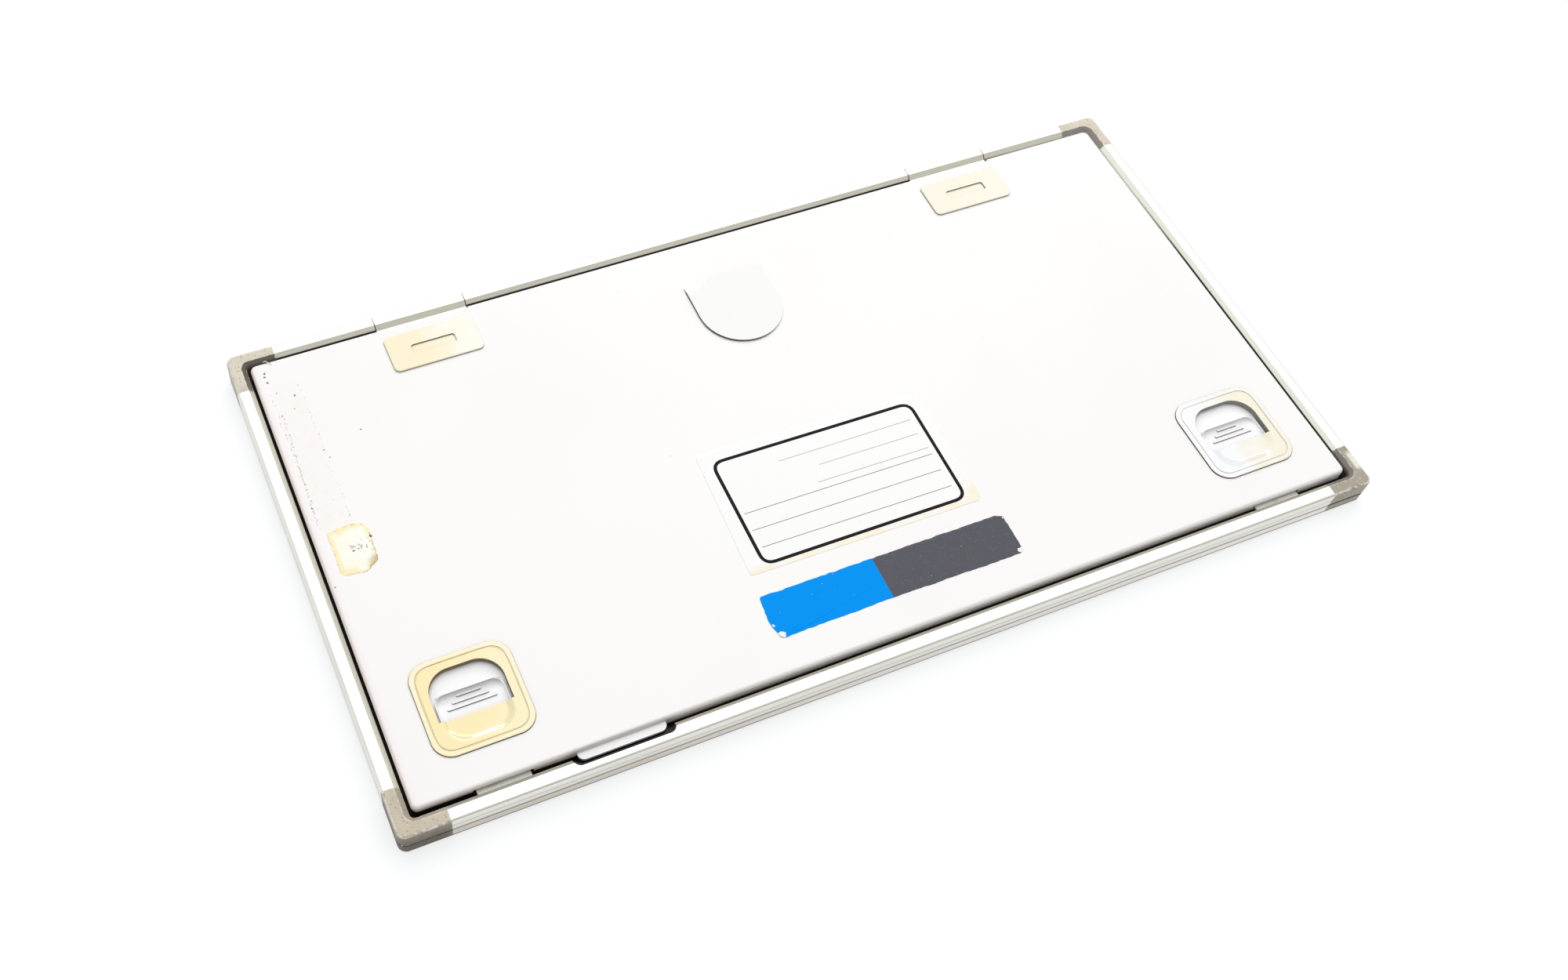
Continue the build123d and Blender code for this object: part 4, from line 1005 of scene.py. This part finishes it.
def stripPaint(look):
    paint = Paint("stripSticker", look, Specular_IOR_Level=0.03)
    x, y, z = axes(paint.tree)
    fine = paint.effect("grain", Scale=2200, Detail=4)
    specks = paint.effect("specks", Scale=1500, Size=0.36, Share=0.30)
    lint = paint.effect("specks", Scale=330, Size=0.08, Share=0.22)
    scuffs = paint.effect("grain", Stretch=(0.08, 1.0, 1.0), Scale=900, Detail=5)
    torn = paint.effect("grain", Scale=520, Detail=6) * (look["tornDepth"] * mm)
    rubbed = ramp(scuffs, 0.74, 0.80) * 0.5
    for spotX, spotY, reach in look["rubbedPlaces"]:
        rubbed |= farFrom(paint.tree, (spotX * mm, spotY * mm, lidTop)) + torn < reach * mm
    blue = paint.mix(specks * 0.12, look["blueColour"], look["blueSpeck"])
    slate = paint.mix(specks * 0.32, look["slateColour"], look["slateSpeck"])
    paint.colour = paint.mix(x > look["seam"] * mm, blue, slate)
    paint.lay(paperColour=lint * 0.5)
    paint.lay(paperColour=rubbed)
    return paint.finish(span(fine, 0.34, 0.52), (fine - rubbed, 0.03 * mm, 0.3))


random = np.random.default_rng(4)
outline = roundedOutline(stripSticker["outline"], stripSticker["radii"], 340)
outline += stripSticker["raggedness"] * smoothNoise(random, 340, 2, 1)
makePiece("stripSticker", [sheetOnLid(outline, stripSticker)], stripPaint(stripSticker))
print("strip sticker done")


# Tape patch: a yellowed scrap of clear tape, brown at its edges, with a few pen marks left on it

tapePatch = {
    "outline": [(-199.9, 16.2), (-193.1, 17.2), (-188.0, 16.8), (-185.2, 15.7), (-183.9, 12.4),
                (-184.7, -2.1), (-188.4, -4.5), (-190.4, -5.7), (-198.7, -4.8), (-200.1, -3.1)],
    "radii": [0.5, 0.6, 1.0, 1.2, 1.4, 0.8, 0.5, 0.8, 0.8, 0.6],
    "thickness": 0.09,
    "raggedness": 0.20,
    "colour": (0.950, 0.935, 0.845),
    "edgeColour": (0.930, 0.820, 0.470),
    "brownColour": (0.420, 0.270, 0.085),
    "crumbColour": (0.045, 0.032, 0.02),
    "darkCorner": (-185.6 * mm, -2.6 * mm, lidTop),
    "marksMiddle": (-191.6, 5.6),
    "marksSpread": (2.3, 0.8),
    "strokeSize": (0.55, 0.45),
    "strokeWidth": 0.25,
    "pen": {"colour": (0.045, 0.032, 0.02), "secondColour": (0.420, 0.270, 0.085), "specular": 0.3,
            "scale": 2600.0, "detail": 4.0, "between": (0.5, 0.7), "roughness": (0.45, 0.7)},
}


def tapePaint(look):
    paint = Paint("oldTape", look, Specular_IOR_Level=0.6)
    x, y, z = axes(paint.tree)
    rim = out(addNode(paint.tree, "Attribute", attribute_name="rim"), "Fac")
    patches = paint.effect("clouds", Scale=190, Low=0.36, High=0.66)
    fine = paint.effect("grain", Scale=2200, Detail=5)
    crumbs = paint.effect("specks", Scale=700, Size=0.26, Share=0.25)
    broken = paint.effect("clouds", Scale=420, Low=0.42, High=0.56)
    dark = ramp(farFrom(paint.tree, look["darkCorner"]) + patches * (2 * mm), 5 * mm, 1 * mm)
    contour = ramp(rim, 0.930, 0.980) * broken * ramp(x, -194 * mm, -187 * mm, 0.30, 1.0)
    paint.lay(edgeColour=patches * 0.25)
    paint.lay(edgeColour=ramp(rim + patches * 0.16, 0.80, 1.02), brownColour=dark * 0.75)
    paint.lay(brownColour=contour * 0.9,
              crumbColour=crumbs * (ramp(x, -192 * mm, -186 * mm, 0.0, 0.6) | dark))
    return paint.finish(span(fine, 0.18, 0.34), (fine + patches, 0.06 * mm, 0.5))


outline = roundedOutline(tapePatch["outline"], tapePatch["radii"], 180)
outline += tapePatch["raggedness"] * smoothNoise(random, 180, 2, 1)
rim = np.append(np.repeat(sheetShares(14), 180), [0.0, 0.0])
makePiece("tapePatch", [sheetOnLid(outline, tapePatch, 14)], tapePaint(tapePatch), rim=rim)

# short zigzag strokes, half rubbed away
strokes = []
for k in range(9):
    start = tapePatch["marksMiddle"] + random.normal(size=2) * tapePatch["marksSpread"]
    turns = start + np.cumsum(random.normal(size=(4, 2)) * tapePatch["strokeSize"], axis=0)
    strokes.append(ribbon(turns, tapePatch["strokeWidth"], tapePatch["thickness"]))
makePiece("penMarks", strokes, twoTone("penMarks", tapePatch["pen"]))
print("tape patch done")


# Glue crumbs along the sides of the removed tape, and a fibre at the lid's corner

glueCrumbs = {
    "sides": [      # a line and the number of crumbs along it
        ([(-199.8, 77.0), (-200.4, 60.2), (-201.1, 42.3), (-202.3, 21.0)], 110),
        ([(-189.8, 91.5), (-188.8, 83.3), (-189.4, 54.8), (-188.6, 29.4), (-189.4, 18.5)], 16),
    ],
    "spread": (0.25, 0.1),
    "blotches": [   # x, y and radius
        (-200.8, 100.0, 0.55), (-201.3, 98.2, 0.5), (-201.0, 95.1, 0.6), (-192.4, 85.0, 0.45),
        (-189.2, 54.6, 0.32), (-188.0, 50.4, 0.34), (-172.3, 59.2, 0.40), (-203.9, -8.1, 0.35),
        (-194.3, 78.5, 0.28), (-184.3, 9.2, 0.6), (-199.0, 88.6, 0.3), (-200.1, 76.5, 0.36),
    ],
    "radius": (0.07, 0.19),
    "height": 0.35,             # of a crumb's radius
    "colour": (0.30, 0.25, 0.13),
    "darkColour": (0.08, 0.065, 0.045),
}
glueFibre = {
    "path": [(-196.7, 103.2, 0.1), (-197.2, 104.2, 0.35), (-198.0, 104.7, 0.6), (-198.6, 105.6, 0.5),
             (-199.3, 106.0, 0.2), (-199.9, 106.1, -0.3)],
    "radius": 0.20,
    "colour": (0.90, 0.89, 0.86), "secondColour": (0.80, 0.76, 0.66), "specular": 0.5,
    "scale": 3000.0, "detail": 3.0, "between": (0.3, 0.7), "roughness": (0.35, 0.6),
}


def crumbGrids(places, radii, height, random, around=8):
    # flattened domes: ring k of radius r cos(a) stands at height h r sin(a), with an uneven outline
    turn = np.linspace(0, 2 * np.pi, around, endpoint=False)
    tilt = np.radians([0.0, 0.0, 35.0, 65.0])
    shrink = np.cos(tilt)
    shrink[0] = 0.5
    uneven = radii[:, None] * (1 + 0.25 * random.normal(size=(len(radii), around))).clip(0.5, 1.5)
    ring = shrink[:, None] * uneven[:, None]
    flat = places[:, None, None] + ring[..., None] * np.stack((np.cos(turn), np.sin(turn)), axis=-1)
    return onLid(flat, np.sin(tilt)[:, None] * height * radii[:, None, None])


def crumbPaint(look):
    paint = Paint("glueCrumbs", look, Specular_IOR_Level=0.5)
    fine = paint.effect("grain", Scale=4000, Detail=3)
    paint.lay(darkColour=paint.effect("clouds", Scale=240, Low=0.4, High=0.6))
    return paint.finish(span(fine, 0.45, 0.75))


def tubeOnLid(path, radius, steps=40, around=8):
    # a round profile carried along a Catmull-Rom curve, thinner at both ends
    path = np.asarray(path, float)
    padded = np.vstack((2 * path[0] - path[1], path, 2 * path[-1] - path[-2]))
    places = np.linspace(0, len(path) - 1.001, steps)
    k = places.astype(int)
    t = (places - k)[:, None]
    p0, p1, p2, p3 = (padded[k + j] for j in range(4))
    line = 0.5 * (2 * p1 + (p2 - p0) * t + (2 * p0 - 5 * p1 + 4 * p2 - p3) * t ** 2
                  + (3 * p1 - p0 - 3 * p2 + p3) * t ** 3)
    ahead = np.gradient(line, axis=0)
    side = unit(np.cross(ahead, (0, 0, 1.0)))
    up = unit(np.cross(side, ahead))
    turn = np.linspace(0, 2 * np.pi, around, endpoint=False)[:, None]
    thick = radius * (0.35 + 0.65 * np.sin(np.linspace(0.15, np.pi - 0.15, steps)))[:, None, None]
    tube = line[:, None] + thick * (np.cos(turn) * side[:, None] + np.sin(turn) * up[:, None])
    return onLid(tube[..., :2], tube[..., 2])


places = []
for line, count in glueCrumbs["sides"]:
    points = pointsAlong(np.array(line), np.sort(random.uniform(0, 1, count)))
    places.append(points + random.normal(size=points.shape) * glueCrumbs["spread"])
blotches, strewn = np.array(glueCrumbs["blotches"]), np.vstack(places)
radii = np.append(random.uniform(*glueCrumbs["radius"], len(strewn)), blotches[:, 2])
crumbs = crumbGrids(np.vstack((strewn, blotches[:, :2])), radii, glueCrumbs["height"], random)
makePiece("glueCrumbs", crumbs, crumbPaint(glueCrumbs))
fibre = tubeOnLid(glueFibre["path"], glueFibre["radius"])
makePiece("glueFibre", [fibre], twoTone("glueFibre", glueFibre))
print("glue and fibre done")
